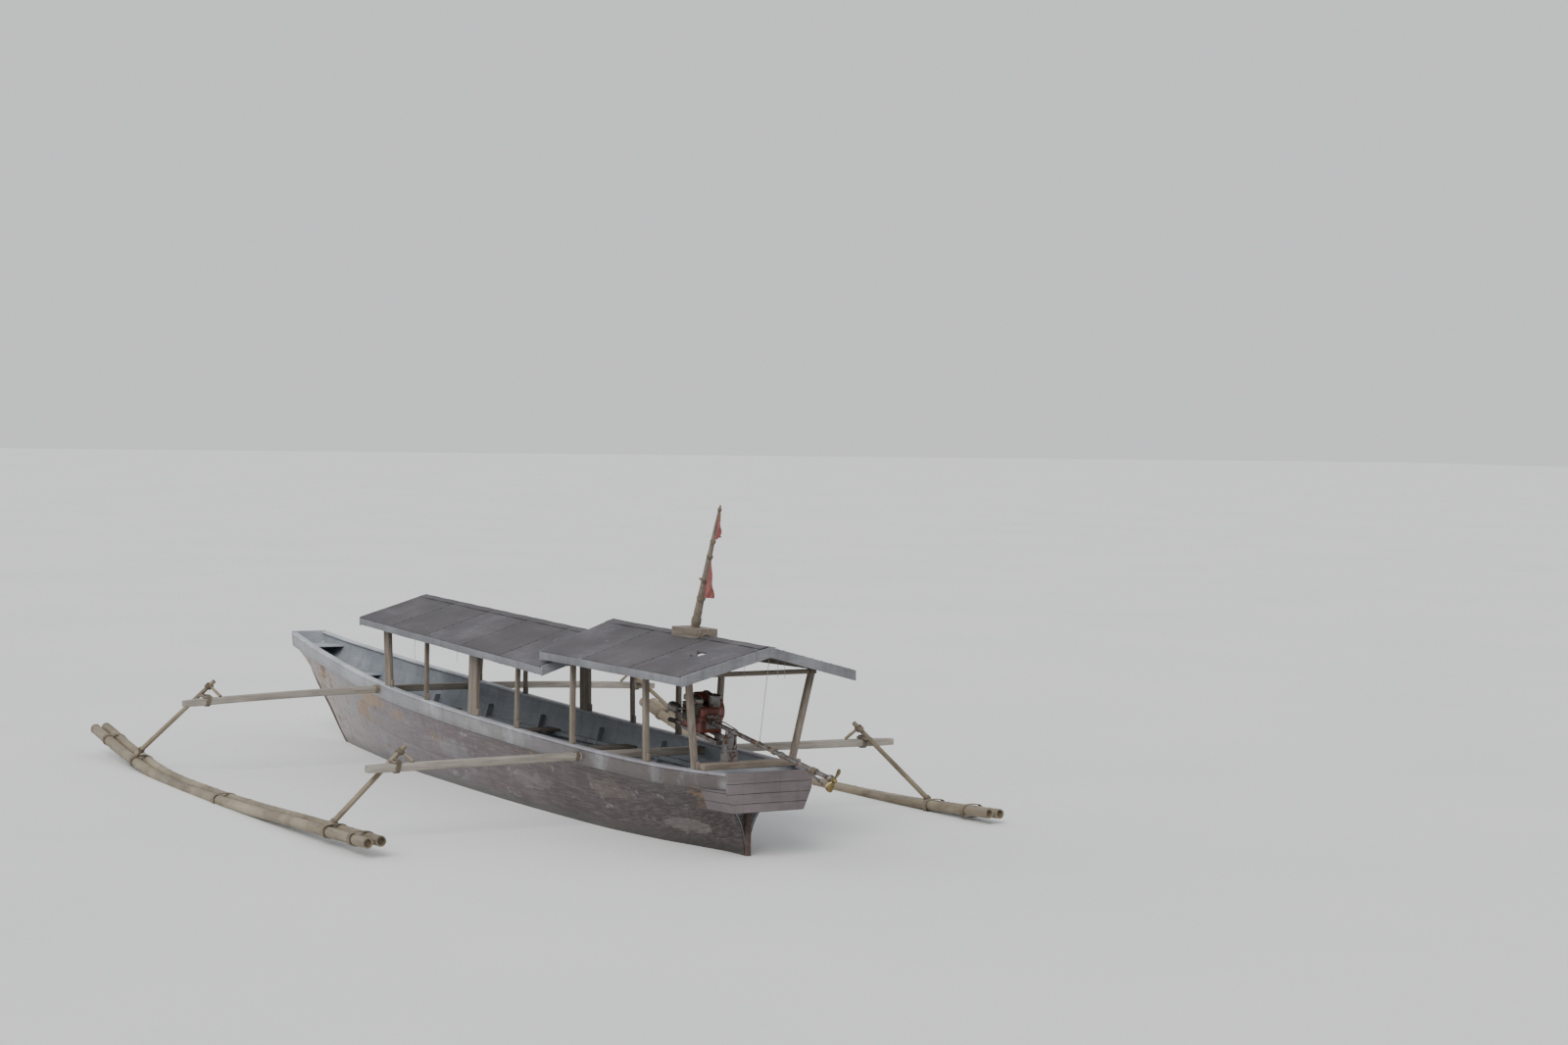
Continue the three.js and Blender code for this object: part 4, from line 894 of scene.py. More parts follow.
# Tears through the aft roof: corners from the sternpost and from the centre line.
TEARS = [[(0.225, 0.425), (0.191, 0.352), (0.248, 0.316), (0.412, 0.320), (0.349, 0.357)],
         [(0.262, 0.449), (0.318, 0.441), (0.372, 0.404), (0.318, 0.413)]]


def torn(x, y, holes):
    """True inside a tear: left of each of its edges, which three sines make ragged."""
    ragged = 0.004 * (np.sin(190 * x + 80 * y) + np.sin(370 * y - 130 * x) + 0.6 * np.sin(610 * x + 9))
    gone = np.zeros(np.broadcast_shapes(x.shape, y.shape), bool)
    for corners in holes:
        c = np.array(corners)
        area = np.sum(c[:, 0] * np.roll(c[:, 1], -1) - c[:, 1] * np.roll(c[:, 0], -1))
        inside = ~gone
        for (ax, ay), (bx, by) in zip(c, np.roll(c, -1, axis=0)):
            reach = ((bx - ax) * (y - ay) - (by - ay) * (x - ax)) * np.sign(area)
            inside = inside & (reach / math.hypot(bx - ax, by - ay) > ragged)
        gone = gone | inside
    return gone


def roof_slope(roof, side, word, sheet_finish, fascia_finish):
    """Lapped sheets: each rises a few millimetres over the next one aft, and sags a little between
    its rafters; v runs from ridge to eave. With its fascia and its nails."""
    aft, fore = ROOFS[roof]["x"]
    x, v = np.linspace(aft, fore, 181), np.linspace(0, 1, 25)
    holes = TEARS if roof == "aft" and side == 1 else []
    if holes:
        x = np.union1d(x, np.linspace(0.14, 0.46, 81))
        v = np.union1d(v, np.linspace(0.34, 0.56, 49))
    x, v = x[:, None], v[None]
    sheets = 5 if roof == "front" else 3
    lap = ((x - aft) / (fore - aft) * sheets) % 1.0
    lap = np.where(x == fore, 1.0, lap)
    lift = 0.004 * lap * np.clip(lap * 40, 0, 1)
    sag = 0.0035 * np.sin(np.pi * sheets * 2 * (x - aft) / (fore - aft)) ** 2 * np.sin(np.pi * v)
    wave = 0.0018 * np.sin(9 * x + 5 * v) * np.sin(3 * v + 2 * x)
    ridge, eave, half, _ = roof_row(roof, x)
    y = side * (GAP + (half - GAP) * v)
    z = ridge - (ridge - eave) * v + lift - sag + wave
    top = spread(x - MIDSHIP, y, z)
    low = spread(x - MIDSHIP, y, ridge - (ridge - eave) * v - ROOF_SHEET - sag)
    name = f"{roof}_{word}"
    centre = (top[:-1, :-1] + top[1:, 1:]) / 2
    gone = torn(centre[..., 0] + MIDSHIP, centre[..., 1], holes)
    piece(f"roof_sheets_{name}", shell(top, low, gone), sheet_finish, slot="roof_sheet",
          stands_for=f"roof_slope_{name}", smooth=28)
    x = np.linspace(aft, fore, 60)
    _, eave, half, _ = roof_row(roof, x)
    deep = AFT_STARBOARD_FASCIA if roof == "aft" and side < 0 else FASCIA_DEPTH
    board = np.column_stack([x - MIDSHIP, side * (half - FASCIA_THICK / 2),
                             eave - deep / 2 - 0.004 + 0.0015 * np.sin(4 * x)])
    piece(f"fascia_{name}", timber(board, FASCIA_THICK, deep - 0.006, 0.004), fascia_finish, slot="fascia")
    nail_x = np.concatenate([aft + (fore - aft) * (np.arange(sheets) + 0.015) / sheets, [fore - 0.02]])
    nx, nv = (a.ravel() for a in np.meshgrid(nail_x, np.linspace(0.06, 0.95, 9), indexing="ij"))
    _, _, half, _ = roof_row(roof, nx)
    spot = np.stack([nx - MIDSHIP, side * half * nv, roof_height(roof, nx, half * nv) + 0.003], -1)
    piece(f"roof_nails_{name}", studs(spot, np.tile((0.0, 0.3 * side, 1.0), (len(spot), 1)), 0.007, 0.003),
          sheet_finish, slot="roof_sheet")


def ridge_cap(roof, finish):
    """A folded strip over the ridge: an arc on top that turns into the two slopes."""
    aft, fore = ROOFS[roof]["x"]
    x = np.linspace(aft, fore, 90)[:, None]
    y = np.linspace(-0.085, 0.085, 17)[None]
    z = (roof_height(roof, x, y) + 0.006 - 0.012 * np.exp(-(y / 0.02) ** 2)
         + 0.0015 * np.sin(14 * x + 20 * y))
    top = spread(x - MIDSHIP, y, z + 0.002)
    low = spread(x - MIDSHIP, y, z)
    piece(f"ridge_cap_{roof}", shell(top, low), finish, slot="roof_sheet", smooth=50)


POSTS = [  # roof, side, foot, width along the boat, width across, how far the head is ahead
    ("front", 1, 6.71, .140, .045, 0), ("front", 1, 5.64, .042, .042, 0),
    ("front", 1, 4.43, .200, .040, 0), ("front", 1, 3.41, .042, .042, 0),
    ("front", -1, 6.93, .140, .045, 0), ("front", -1, 5.81, .042, .042, 0),
    ("front", -1, 4.43, .200, .040, 0), ("front", -1, 3.41, .042, .042, 0),
    ("aft", 1, 2.19, .048, .048, 0), ("aft", 1, .82, .055, .050, -.06),
    ("aft", 1, .10, .060, .050, -.11), ("aft", -1, 2.48, .048, .048, 0),
    ("aft", -1, 1.70, .055, .050, -.06), ("aft", -1, .15, .060, .050, -.11)]


def roof_frame(roof, side, word, upright, lengthwise, crosswise, rope):
    """Posts, the plate along their heads, rafters up to the ridge and a cleat at each foot."""
    aft, fore = ROOFS[roof]["x"]

    def plate_z(x):
        return roof_height(roof, x, roof_row(roof, x)[3]) - ROOF_SHEET

    posts, cleats, wraps = [], [], []
    for _, _, x, wide, deep, lean in (p for p in POSTS if p[0] == roof and p[1] == side):
        foot = np.array((x - MIDSHIP, side * (rail_half(x) - 0.012), rail_top(x) + GAP))
        head = np.array((x + lean - MIDSHIP, side * roof_row(roof, x + lean)[3], plate_z(x + lean) - 0.046))
        line = straight(foot, head, 24)
        line[:, 0] += 0.003 * np.sin(np.pi * np.linspace(0, 1, 24))
        posts.append(timber(line, deep, wide, 0.006, up=AHEAD))
        cleats.append(block(foot + (-wide / 2 - 0.030, -0.014, 0), foot + (-wide / 2 - 0.002, 0.014, 0.07),
                            0.005))
        if wide < 0.1:
            wraps.append(winding(head - (0, 0, 0.03), UP, deep / 2 + 0.004, wide / 2 + 0.004, 4, 0.008,
                                 0.0038, 4.5))
    name = f"{roof}_{word}"
    piece(f"roof_posts_{name}", merged(posts + cleats), upright, slot="bare_wood",
          stands_for=f"roof_frame_{name}", smooth=40)
    piece(f"post_lashings_{name}", merged(wraps), rope, slot="bare_wood")
    x = np.linspace(aft + 0.06, fore - 0.06, 50)
    y = side * roof_row(roof, x)[3]
    plate = timber(np.column_stack([x - MIDSHIP, y, plate_z(x) - 0.027]), 0.042, 0.046, 0.005)
    piece(f"roof_plate_{name}", plate, lengthwise, slot="bare_wood")
    rafters = []
    for x in np.linspace(aft + 0.10, fore - 0.10, 5 if roof == "aft" else 7):
        _, _, half, _ = roof_row(roof, x)
        ends = [(x - MIDSHIP, side * yy, float(roof_height(roof, x, yy)) - ROOF_SHEET - 0.022)
                for yy in (0.030, float(half) - FASCIA_THICK - 0.004)]
        rafters.append(timber(straight(*ends, 8), 0.034, 0.032, 0.004))
    piece(f"rafters_{name}", merged(rafters), crosswise, slot="bare_wood")


def cabin_ties(roof, finish):
    """Light beams from plate to plate."""
    aft, fore = ROOFS[roof]["x"]
    bars = []
    for x in np.linspace(aft + 0.35, fore - 0.35, 3 if roof == "aft" else 4):
        plate = float(roof_row(roof, x)[3])
        z = float(roof_height(roof, x, plate)) - ROOF_SHEET - 0.075
        ends = [(x - MIDSHIP, side * plate, z) for side in (-1, 1)]
        bars.append(timber(straight(*ends, 12), 0.038, 0.042, 0.005))
    piece(f"roof_ties_{roof}", merged(bars), finish, slot="bare_wood")


# Staff and pennants.
STAFF_FOOT, STAFF_HEAD = np.array((1.040 - MIDSHIP, 0, 1.905)), np.array((0.600 - MIDSHIP, 0, 3.040))


def staff_radius(k):
    """k runs from 0 at the foot to 1 at the head."""
    return 0.042 - 0.030 * k


def flagstaff(finish, rope):
    """A thin leaning pole with a peg, bound at its foot and up its length."""
    line = straight(STAFF_FOOT, STAFF_HEAD, 90)
    k = np.linspace(0, 1, 90)
    knots = 0.05 * np.exp(-(((k * 7.3 + 0.4) % 1.0 - 0.5) / 0.06) ** 2)
    radius = staff_radius(k) * (1 + knots) * np.where(k > 0.985, 0.7, 1.0)
    line[:, 0] += 0.006 * np.sin(np.pi * k)
    peg_from = STAFF_FOOT + 0.4 * (STAFF_HEAD - STAFF_FOOT)
    peg = pole(straight(peg_from, peg_from + (0.09, 0, 0.010), 6), 0.012, 10)
    piece("staff_pole", merged([pole(line, radius, 16, up=PORT), peg]), finish, slot="bare_wood",
          stands_for="flagstaff", smooth=50)
    run = STAFF_HEAD - STAFF_FOOT
    wraps = [winding(STAFF_FOOT + at * run, run, staff_radius(at) + 0.003, staff_radius(at) + 0.003, turns,
                     0.008, 0.0036, 2.0)
             for at, turns in ((0.07, 7), (0.40, 4), (0.255, 3), (0.59, 3), (0.71, 3), (0.965, 3))]
    piece("staff_lashings", merged(wraps), rope, slot="bare_wood")


STRINGS = {  # from the edge that each hangs from down to its bare end
    "gable_string_port": [(-0.312, 0.256, 1.6930), (-0.315, 0.261, 1.660), (-0.309, 0.255, 1.602)],
    "gable_string_middle": [(-0.312, -0.074, 1.7405), (-0.310, -0.078, 1.670), (-0.316, -0.073, 1.582)],
    "gable_string_starboard": [(-0.312, -0.147, 1.7215), (-0.316, -0.142, 1.650), (-0.311, -0.149, 1.578)],
    "eave_string_fore": [(5.587, 0.764, 1.4885), (5.592, 0.768, 1.400), (5.584, 0.763, 1.289)],
    "eave_string_middle": [(4.516, 0.771, 1.4525), (4.511, 0.775, 1.410), (4.518, 0.770, 1.359)],
    "eave_string_aft": [(0.600, 0.825, 1.5375), (0.605, 0.829, 1.490), (0.598, 0.824, 1.437)],
}


def loose_strings(finish):
    """Ends of tying string left to hang: each a curve through three points."""
    for name, points in STRINGS.items():
        path = bent_line(np.array(points) - (MIDSHIP, 0, 0), 0.004)
        obj = piece(name, pole(path, 0.002, 8, up=AHEAD), finish, slot="bamboo")


def lifting_line(finish):
    """The taut line from the aft gable that holds the tail tube up."""
    path = straight((-0.3125 - MIDSHIP, 0.012, 1.752), (-0.461 - MIDSHIP, 0.181, 1.060), 60)
    piece("tail_lifting_line", pole(path, 0.0028, 8, up=AHEAD), finish, slot="bamboo")


def pennant(name, low, high, fly, drop, finish):
    """A torn pennant: v runs down the hoist and u out along the fly. It narrows to its tip, its
    waves grow away from the staff, and a fast sine nicks its edges."""
    u = np.linspace(0, 1, 49)[:, None]
    v = np.linspace(0, 1, 41)[None]
    run = STAFF_HEAD - STAFF_FOOT
    a, b = (STAFF_FOOT + k * run for k in (high, low))
    gap = np.array((-1.0, 0, 0)) * (staff_radius((high + low) / 2) + 0.004)
    hoist = a + v[..., None] * (b - a) + gap
    tip = b + gap + (-fly, 0, drop)
    edge = hoist + u[..., None] * (tip - hoist)
    nick = 0.010 * u * np.sin(31 * v + 2) * np.sin(17 * v)
    ripple = 0.011 * u * np.sin(11 * u + 4 * v + 3 * low) + 0.004 * u * np.sin(23 * v + 6 * u)
    cloth = edge + spread(nick, ripple, 0.4 * nick)
    thick = np.array((0, 0.0006, 0))
    lay = spread(u * 0.3, v * 0.5).reshape(-1, 2)
    obj = piece(f"{name}_cloth", shell(cloth + thick, cloth - thick), finish, slot="cloth", stands_for=name,
                smooth=60, lay=np.concatenate([lay, lay]))
    du, dv = np.gradient(cloth, axis=0), np.gradient(cloth, axis=1)
    cell = np.linalg.norm(np.cross(du, dv), axis=-1)
    cell[[0, -1]] /= 2
    cell[:, [0, -1]] /= 2
    float(cell.sum())


def rolled_curtain(finish, rope):
    """The side curtain rolled up: a spiral of cloth whose radius grows with its turns, dented where
    its ties bind it."""
    def hung(x):
        """Where the middle of the roll is at x, under the front roof's port eave."""
        y = roof_row("front", x)[2] - FASCIA_THICK - 0.048
        return y, roof_height("front", x, y) - ROOF_SHEET - 0.070

    x = np.linspace(2.660, 3.740, 110)
    y, z = hung(x)
    a = np.linspace(0, 2 * np.pi * 3.25, 120)
    ties = np.array([2.80, 3.20, 3.60])
    pinch = 1 - 0.16 * np.exp(-((x[:, None] - ties[None]) / 0.03) ** 2).sum(1)
    slack = 1 + 0.02 * np.sin(40 * x[:, None] + 3 * a[None])
    r = (0.014 + 0.0285 * a / a[-1])[None] * pinch[:, None] * slack
    path = spread((x - MIDSHIP)[:, None], y[:, None] + r * np.cos(a), z[:, None] + r * np.sin(a))
    outer = 0.0012 * spread(0 * r, np.cos(a), np.sin(a))
    lay = spread(x[:, None], (a * 0.03)[None]).reshape(-1, 2)
    obj = piece("curtain_roll", shell(path + outer, path - outer * 0.2), finish, slot="cloth",
                stands_for="rolled_curtain", smooth=60, lay=np.concatenate([lay, lay]))
    step = np.linalg.norm(np.diff(path, axis=1), axis=-1)
    deep = float(step.sum(1).max())
    du = np.linalg.norm(np.diff(path, axis=0), axis=-1).mean()
    area = float(step.sum(1).mean() * du * (len(x) - 1))
    binds = [winding((at - MIDSHIP, *hung(at)), AHEAD, 0.040, 0.040, 2.2, 0.008, 0.003, 2.0) for at in ties]
    piece("curtain_ties", merged(binds), rope, slot="cloth")


def rope_finish():
    """Cord with fine fibres, faded and grey with dirt."""
    f = Finish("old_rope", 0.9)
    strand = f.noise(160.0, None, 3.0)
    tone = f.ramp(f.noise(4.0), [(0.3, "#4d463c"), (0.7, "#857c6c")])
    f.colour(f.over(tone, 0.5, f.span(strand, 0.4, 0.7), "#3d3428"))
    f.bump(strand, 0.5, 0.002)
    return f.material


def cloth_finish(name, dark, light):
    """Faded woven cloth: fine weave in its lay, sun-bleached patches and damp stains."""
    f = Finish(name, 0.95, sheen=0.2)
    threads = {"Vector": f.uv(), "Scale": 260.0, "Distortion": 1.0}
    warp, weft = (f.add("ShaderNodeTexWave", threads, bands_direction=way).outputs["Fac"] for way in "XY")
    weave = f.part(weft, warp)
    tone = f.mix(f.span(f.noise(7.0, None, 6.0, 0.65), 0.35, 0.65), dark, light)
    stain = f.span(f.noise(3.0, None, 5.0), 0.55, 0.7)
    tone = f.over(tone, 0.45, stain, "#3b2a26")
    f.colour(f.over(tone, 0.25, weave, "#ffffff", "OVERLAY"))
    f.bump(weave, 0.25, 0.0008)
    return f.material


# Engine, drawn level about the tilt pin: x ahead of it, y to port, z up; then tipped to its rest.
def tipped(shape):
    """Carries a shape from the level drawing to the engine at rest."""
    points, faces = shape
    x, y, z = points.T
    c, s = math.cos(TAIL_SLOPE), math.sin(TAIL_SLOPE)
    return np.column_stack([PIVOT[0] + x * c - z * s, PIVOT[1] + y, PIVOT[2] + x * s + z * c]), faces


def engine_piece(name, shapes, finish, slot, **more):
    piece(name, tipped(merged(shapes)), finish, slot, "engine", **more)


def engine_castings(paint, alloy, dark):
    """Crankcase with its covers, a finned cylinder to port, the fan shroud to starboard, and their
    slots, plugs and bolts."""
    lower = block((0.325, -0.108, -0.046), (0.675, 0.108, 0.105), 0.022, 4)
    upper = block((0.338, -0.100, 0.060), (0.662, 0.100, 0.184), 0.030, 4)
    sump = block((0.350, -0.092, -0.0455), (0.650, 0.092, -0.010), 0.010)
    flange = block((0.318, -0.114, 0.046), (0.682, 0.114, 0.058), 0.004)
    shroud = turned([(0, 0.112), (0.006, 0.118), (0.040, 0.118), (0.054, 0.110), (0.060, 0.092),
                     (0.0605, 0.070), (0.052, 0.066), (0.052, 0.040), (0.064, 0.036), (0.065, 0.010)],
                    (0.490, -0.100, 0.119), (0, -1, 0), 40)
    duct = block((0.400, -0.150, 0.150), (0.600, -0.060, 0.236), 0.024, 4)
    cover = turned([(0, 0.075), (0.012, 0.075), (0.018, 0.068), (0.019, 0.030), (0.030, 0.026),
                    (0.031, 0.006)], (0.640, 0.0, 0.060), AHEAD, 32)
    engine_piece("engine_castings", [lower, upper, sump, flange, shroud, duct, cover], paint, "engine_case",
                 stands_for="engine_block", smooth=32)
    fins = [block((0.378, 0.058, z), (0.612, 0.164, z + 0.005), 0.002, 2)
            for z in np.arange(0.036, 0.196, 0.0135)]
    barrel = block((0.396, 0.050, 0.024), (0.594, 0.146, 0.210), 0.030, 4)
    head = block((0.385, 0.062, 0.204), (0.605, 0.158, 0.254), 0.014, 4)
    engine_piece("engine_cylinder", fins + [barrel, head], alloy, "engine_case", smooth=32)
    holes = [(0.490 + r * math.cos(a), 0.119 + r * math.sin(a))
             for r in (0.045, 0.056) for a in full_turn(18)]
    slots = [block((x - 0.004, -0.163, z - 0.004), (x + 0.004, -0.1535, z + 0.004), 0.0015, 2)
             for x, z in holes]
    grip = block((0.560, -0.176, 0.190), (0.600, -0.158, 0.202), 0.005)
    plug = turned([(0, 0.010), (0.012, 0.010), (0.013, 0.007), (0.040, 0.007), (0.041, 0.004)],
                  (0.600, 0.110, 0.228), (0.9, 0.2, 0.4), 12)
    filler = turned([(0, 0.014), (0.018, 0.014), (0.019, 0.019), (0.030, 0.019), (0.032, 0.015)],
                    (0.655, 0.070, 0.020), (0.8, 0.3, 0.5), 16)
    engine_piece("engine_fittings", slots + [grip, plug, filler], dark, "engine_case", smooth=32)
    spots = ([(x, 0.110, 0.052) for x in np.linspace(0.335, 0.665, 8)]
             + [(x, -0.1105, 0.052) for x in (0.335, 0.36, 0.64, 0.665)])
    facing = [PORT] * 8 + [(0, -1, 0)] * 4
    ring = [(0.659, 0.068 * math.cos(a), 0.060 + 0.068 * math.sin(a)) for a in np.linspace(0, 5.24, 6)]
    top = [(x, y, 0.255) for x in (0.405, 0.585) for y in (0.078, 0.142)]
    bolts = studs(spots + ring + top, facing + [AHEAD] * 6 + [UP] * 4, 0.008, 0.006, 6)
    engine_piece("engine_bolts", [bolts], alloy, "steel")


def exhaust(steel):
    """A bent pipe from a collar at the cylinder to a short rounded silencer on a bracket."""
    bend = evenly(np.array([(0.500, 0.150, 0.150), (0.510, 0.182, 0.147), (0.545, 0.197, 0.134),
                            (0.600, 0.200, 0.123)]), 0.006)
    for _ in range(12):
        bend[1:-1] = (bend[:-2] + 2 * bend[1:-1] + bend[2:]) / 4
    pipe = pole(bend, 0.015, 14)
    can = turned([(0, 0.014), (0.004, 0.030), (0.014, 0.040), (0.030, 0.044), (0.034, 0.046),
                  (0.038, 0.044), (0.108, 0.044), (0.112, 0.046), (0.116, 0.044), (0.134, 0.040),
                  (0.146, 0.028), (0.150, 0.012)], (0.590, 0.200, 0.122), AHEAD, 24)
    collar = turned([(0, 0.030), (0.010, 0.030), (0.012, 0.024)], (0.500, 0.140, 0.150), PORT, 16)
    bracket = block((0.640, 0.100, 0.100), (0.652, 0.210, 0.112), 0.003)
    engine_piece("exhaust_silencer", [pipe, can, collar, bracket], steel, "steel", smooth=35)


def tank_and_filter(tank_paint, steel, dark):
    """A pressed tank with a seam and a cap, the ribbed can of the air filter and the carburettor."""
    y = np.linspace(-0.100, 0.058, 61)
    edge = np.minimum(y + 0.100, 0.058 - y)
    draw = np.sqrt(np.clip(1 - (np.clip(0.026 - edge, 0, 0.026) / 0.026) ** 2, 0, 1)) * 0.30 + 0.70
    seam = 0.02 * np.exp(-((y + 0.021) / 0.003) ** 2)
    turn = full_turn(44)
    fit = squarish(turn, 2.5)
    size = (draw + seam)[:, None]
    ring = spread(0.550 + 0.086 * size * (np.cos(turn) * fit)[None], y[:, None],
                  0.2304 + 0.0455 * size * (np.sin(turn) * fit)[None])
    engine_piece("tank_shell", [loft(ring)], tank_paint, "tank_paint", stands_for="fuel_tank", smooth=40)
    cap = turned([(0, 0.026), (0.004, 0.030), (0.018, 0.030), (0.022, 0.026), (0.023, 0.008)],
                 (0.520, -0.030, 0.272), UP, 20)
    engine_piece("tank_cap", [cap], dark, "tank_paint", smooth=35)
    rows = [(0, 0.040), (0.006, 0.054)]
    for k in range(7):
        z = 0.014 + 0.011 * k
        rows += [(z, 0.0565 - 0.0003 * k), (z + 0.003, 0.0535), (z + 0.008, 0.0535)]
    rows += [(0.094, 0.058), (0.104, 0.058), (0.108, 0.054), (0.112, 0.030), (0.114, 0.012), (0.120, 0.010),
             (0.122, 0.004)]
    can = turned(rows, (0.387, -0.040, 0.1800), UP, 40)
    engine_piece("filter_can", [can], steel, "steel", stands_for="air_filter", smooth=30)
    throat = [block((0.372, -0.078, 0.150), (0.418, -0.022, 0.186), 0.008),
              turned([(0, 0.020), (0.050, 0.020), (0.052, 0.014)], (0.400, 0.010, 0.166), (0, 1, 0.1), 16),
              block((0.392, 0.000, 0.140), (0.426, 0.034, 0.172), 0.007)]
    engine_piece("carburettor", throat, dark, "steel", smooth=35)


def tiller_arm(steel, rubber):
    """A welded foot with two ears, a straight arm and a ribbed grip with a throttle ring."""
    foot = block((0.6954, -0.090, -0.079), (0.7094, 0.090, -0.047), 0.003)
    stem = pole(straight((0.7014, 0, -0.063), (1.0754, 0, -0.100), 40), 0.015, 14)
    ears = [block((0.690, s * 0.079 - 0.012, -0.075), (0.716, s * 0.079 + 0.012, -0.051), 0.003)
            for s in (1, -1)]
    engine_piece("tiller_arm", [foot, stem] + ears, steel, "steel", stands_for="tiller", smooth=35)
    k = np.linspace(0, 1, 90)
    line = straight((0.9654, 0, -0.089), (1.0954, 0, -0.102), 90)
    radius = 0.0195 + 0.0012 * np.sin(2 * np.pi * 13 * k) * np.clip(8 * k * (1 - k), 0, 1)
    radius = np.where(k > 0.97, 0.014, np.where(k < 0.05, 0.0235, radius))
    engine_piece("tiller_grip", [pole(line, radius, 20)], rubber, "steel", smooth=40)


def tail_fittings(steel, rope):
    """Collars, a bearing, a stay and bolts on the tail tube, and rope bound round it in three places."""
    ring = [(0, 0.022), (0.004, 0.029), (0.034, 0.029), (0.038, 0.022)]
    collars = [turned(ring, (x, 0, TAIL_LIFT), AHEAD, 20) for x in (-1.690, -0.900, -0.100, 0.250)]
    gland = turned([(0, 0.021), (0.010, 0.034), (0.022, 0.036), (0.034, 0.034), (0.050, 0.024)],
                   (-1.700, 0, TAIL_LIFT), AHEAD, 20)
    bend = np.array([(0.270, 0, 0.100), (0.100, 0, 0.105), (-0.120, 0, 0.090)])
    stay = pole(evenly(bend, 0.02), 0.006, 10)
    bolts = studs([(0.3015, y, TAIL_LIFT + z) for y in (-0.045, 0.045) for z in (-0.045, 0.045)],
                  [(-1, 0, 0)] * 4, 0.010, 0.008, 6)
    engine_piece("tail_collars", collars + [gland, stay, bolts], steel, "steel", smooth=35)
    wraps = [winding((x, 0, TAIL_LIFT), AHEAD, 0.025, 0.025, turns, pitch, thick, 2.0)
             for x, turns, pitch, thick in ((-1.420, 9, 0.0085, 0.0040), (-0.760, 5, 0.0085, 0.0040),
                                            (-0.497, 4, 0.0075, 0.0034))]
    engine_piece("tail_rope", wraps, rope, "steel")


def propeller_blades(metal):
    """Two blades: each closed outline is a thin lens across the chord, carried out along the span,
    narrowing by a quarter circle at the tip and turning flatter with radius; and the boss."""
    r = np.linspace(0.012, 0.105, 34)[:, None]
    c = full_turn(32)[None]
    k = r / 0.105
    near_tip = np.sqrt(np.clip(1 - np.clip((k - 0.72) / 0.282, 0, 1) ** 2, 0, 1))
    half = (0.014 + 0.022 * np.sin(np.pi * np.clip(k, 0, 1) * 0.62)) * near_tip
    middle = 0.004 - 0.012 * np.sin(np.pi * k)
    chord = middle + half * np.cos(c)
    thick = 0.0038 * (1.25 - 0.8 * k) * np.sin(c) + 0.003 * (np.cos(c) ** 2)
    parts = [turned([(-0.004, 0.020), (0.0, 0.0235), (0.030, 0.0235), (0.048, 0.0190), (0.060, 0.011),
                     (0.064, 0.004)], (-TAIL_REACH - 0.001, 0, TAIL_LIFT), (-1, 0, 0), 28)]
    for turn in (0, math.pi):
        a = math.pi / 2 + 0.5 + 0.30 * (0.5 - k)
        x = chord * np.cos(a) + thick * np.sin(a)
        z = -chord * np.sin(a) + thick * np.cos(a)
        b = math.pi / 2 + turn + 0.5
        y, z = r * math.cos(b) - z * math.sin(b), r * math.sin(b) + z * math.cos(b)
        ring = spread(x - TAIL_REACH - 0.031, y, z + TAIL_LIFT)
        parts.append(loft(ring))
    piece("propeller_blades", tipped(merged(parts)), metal, "blade", "propeller", stands_for="propeller",
          smooth=50)


def mount_fittings(steel):
    """A plate with four nuts where the engine's socket stands."""
    seat = PIVOT * (1, 1, 0) + (0, 0, SEAT_TOP)
    spots = [seat + (x, y, 0.007) for x in (-0.046, 0.046) for y in (-0.05, 0.05)]
    plate = block(seat + (-0.053, -0.072, -0.002), seat + (0.053, 0.072, 0.007), 0.003)
    nuts = studs(spots, [UP] * 4, 0.009, 0.008, 6)
    piece("seat_plate", merged([plate, nuts]), steel, slot="steel", smooth=35)


def metal(name, dark, light, rust, share=0.5, roughness=0.45, shine=0.8):
    """Worn metal: cloudy tone, scratches, and rust that gathers in patches and pits."""
    f = Finish(name, roughness, shine)
    cloud = f.noise(9.0, None, 6.0, 0.6)
    tone = f.mix(f.span(cloud, 0.35, 0.7), dark, light)
    scratch = f.span(f.noise(30.0, f.stretched((1.0, 1.0, 12.0)), 3.0, 0.7), 0.62, 0.68)
    tone = f.over(tone, 0.5, scratch, light)
    patch = f.span(f.noise(14.0, None, 8.0, 0.72), 0.62 - 0.2 * share, 0.70 - 0.15 * share)
    deep = f.span(f.noise(40.0, None, 4.0), 0.4, 0.6)
    tone = f.mix(patch, tone, f.mix(deep, rust, "#2a1710"))
    f.colour(tone)
    f.rough(f.sum("ADD", f.part(0.4, patch), f.part(0.6, cloud)), roughness * 0.8, 0.9)
    f.bump(patch, 0.3, 0.0012)
    f.bump(deep, 0.15, 0.0006)
    return f.material


def engine_paint(name, fresh, faded, share=0.5):
    """Red-brown enamel gone dull: cloudy fading, patches of oil soot and chips down to the rust."""
    f = Finish(name, 0.5)
    cloud = f.noise(6.0, None, 6.0, 0.6)
    tone = f.mix(f.span(cloud, 0.35, 0.7), fresh, faded)
    soot = f.span(f.noise(8.0, f.stretched((1.0, 1.0, 0.5)), 7.0, 0.65), 0.42, 0.66)
    tone = f.over(tone, 0.75, soot, "#1b1412")
    chip = f.span(f.noise(34.0, None, 8.0, 0.75), 0.66 - 0.1 * share, 0.70 - 0.1 * share)
    tone = f.mix(chip, tone, "#6a4a38")
    f.colour(tone)
    f.rough(f.sum("ADD", f.part(0.5, soot), f.part(0.5, cloud)), 0.3, 0.8)
    f.bump(chip, 0.4, -0.0008)
    f.bump(cloud, 0.12, 0.002)
    return f.material


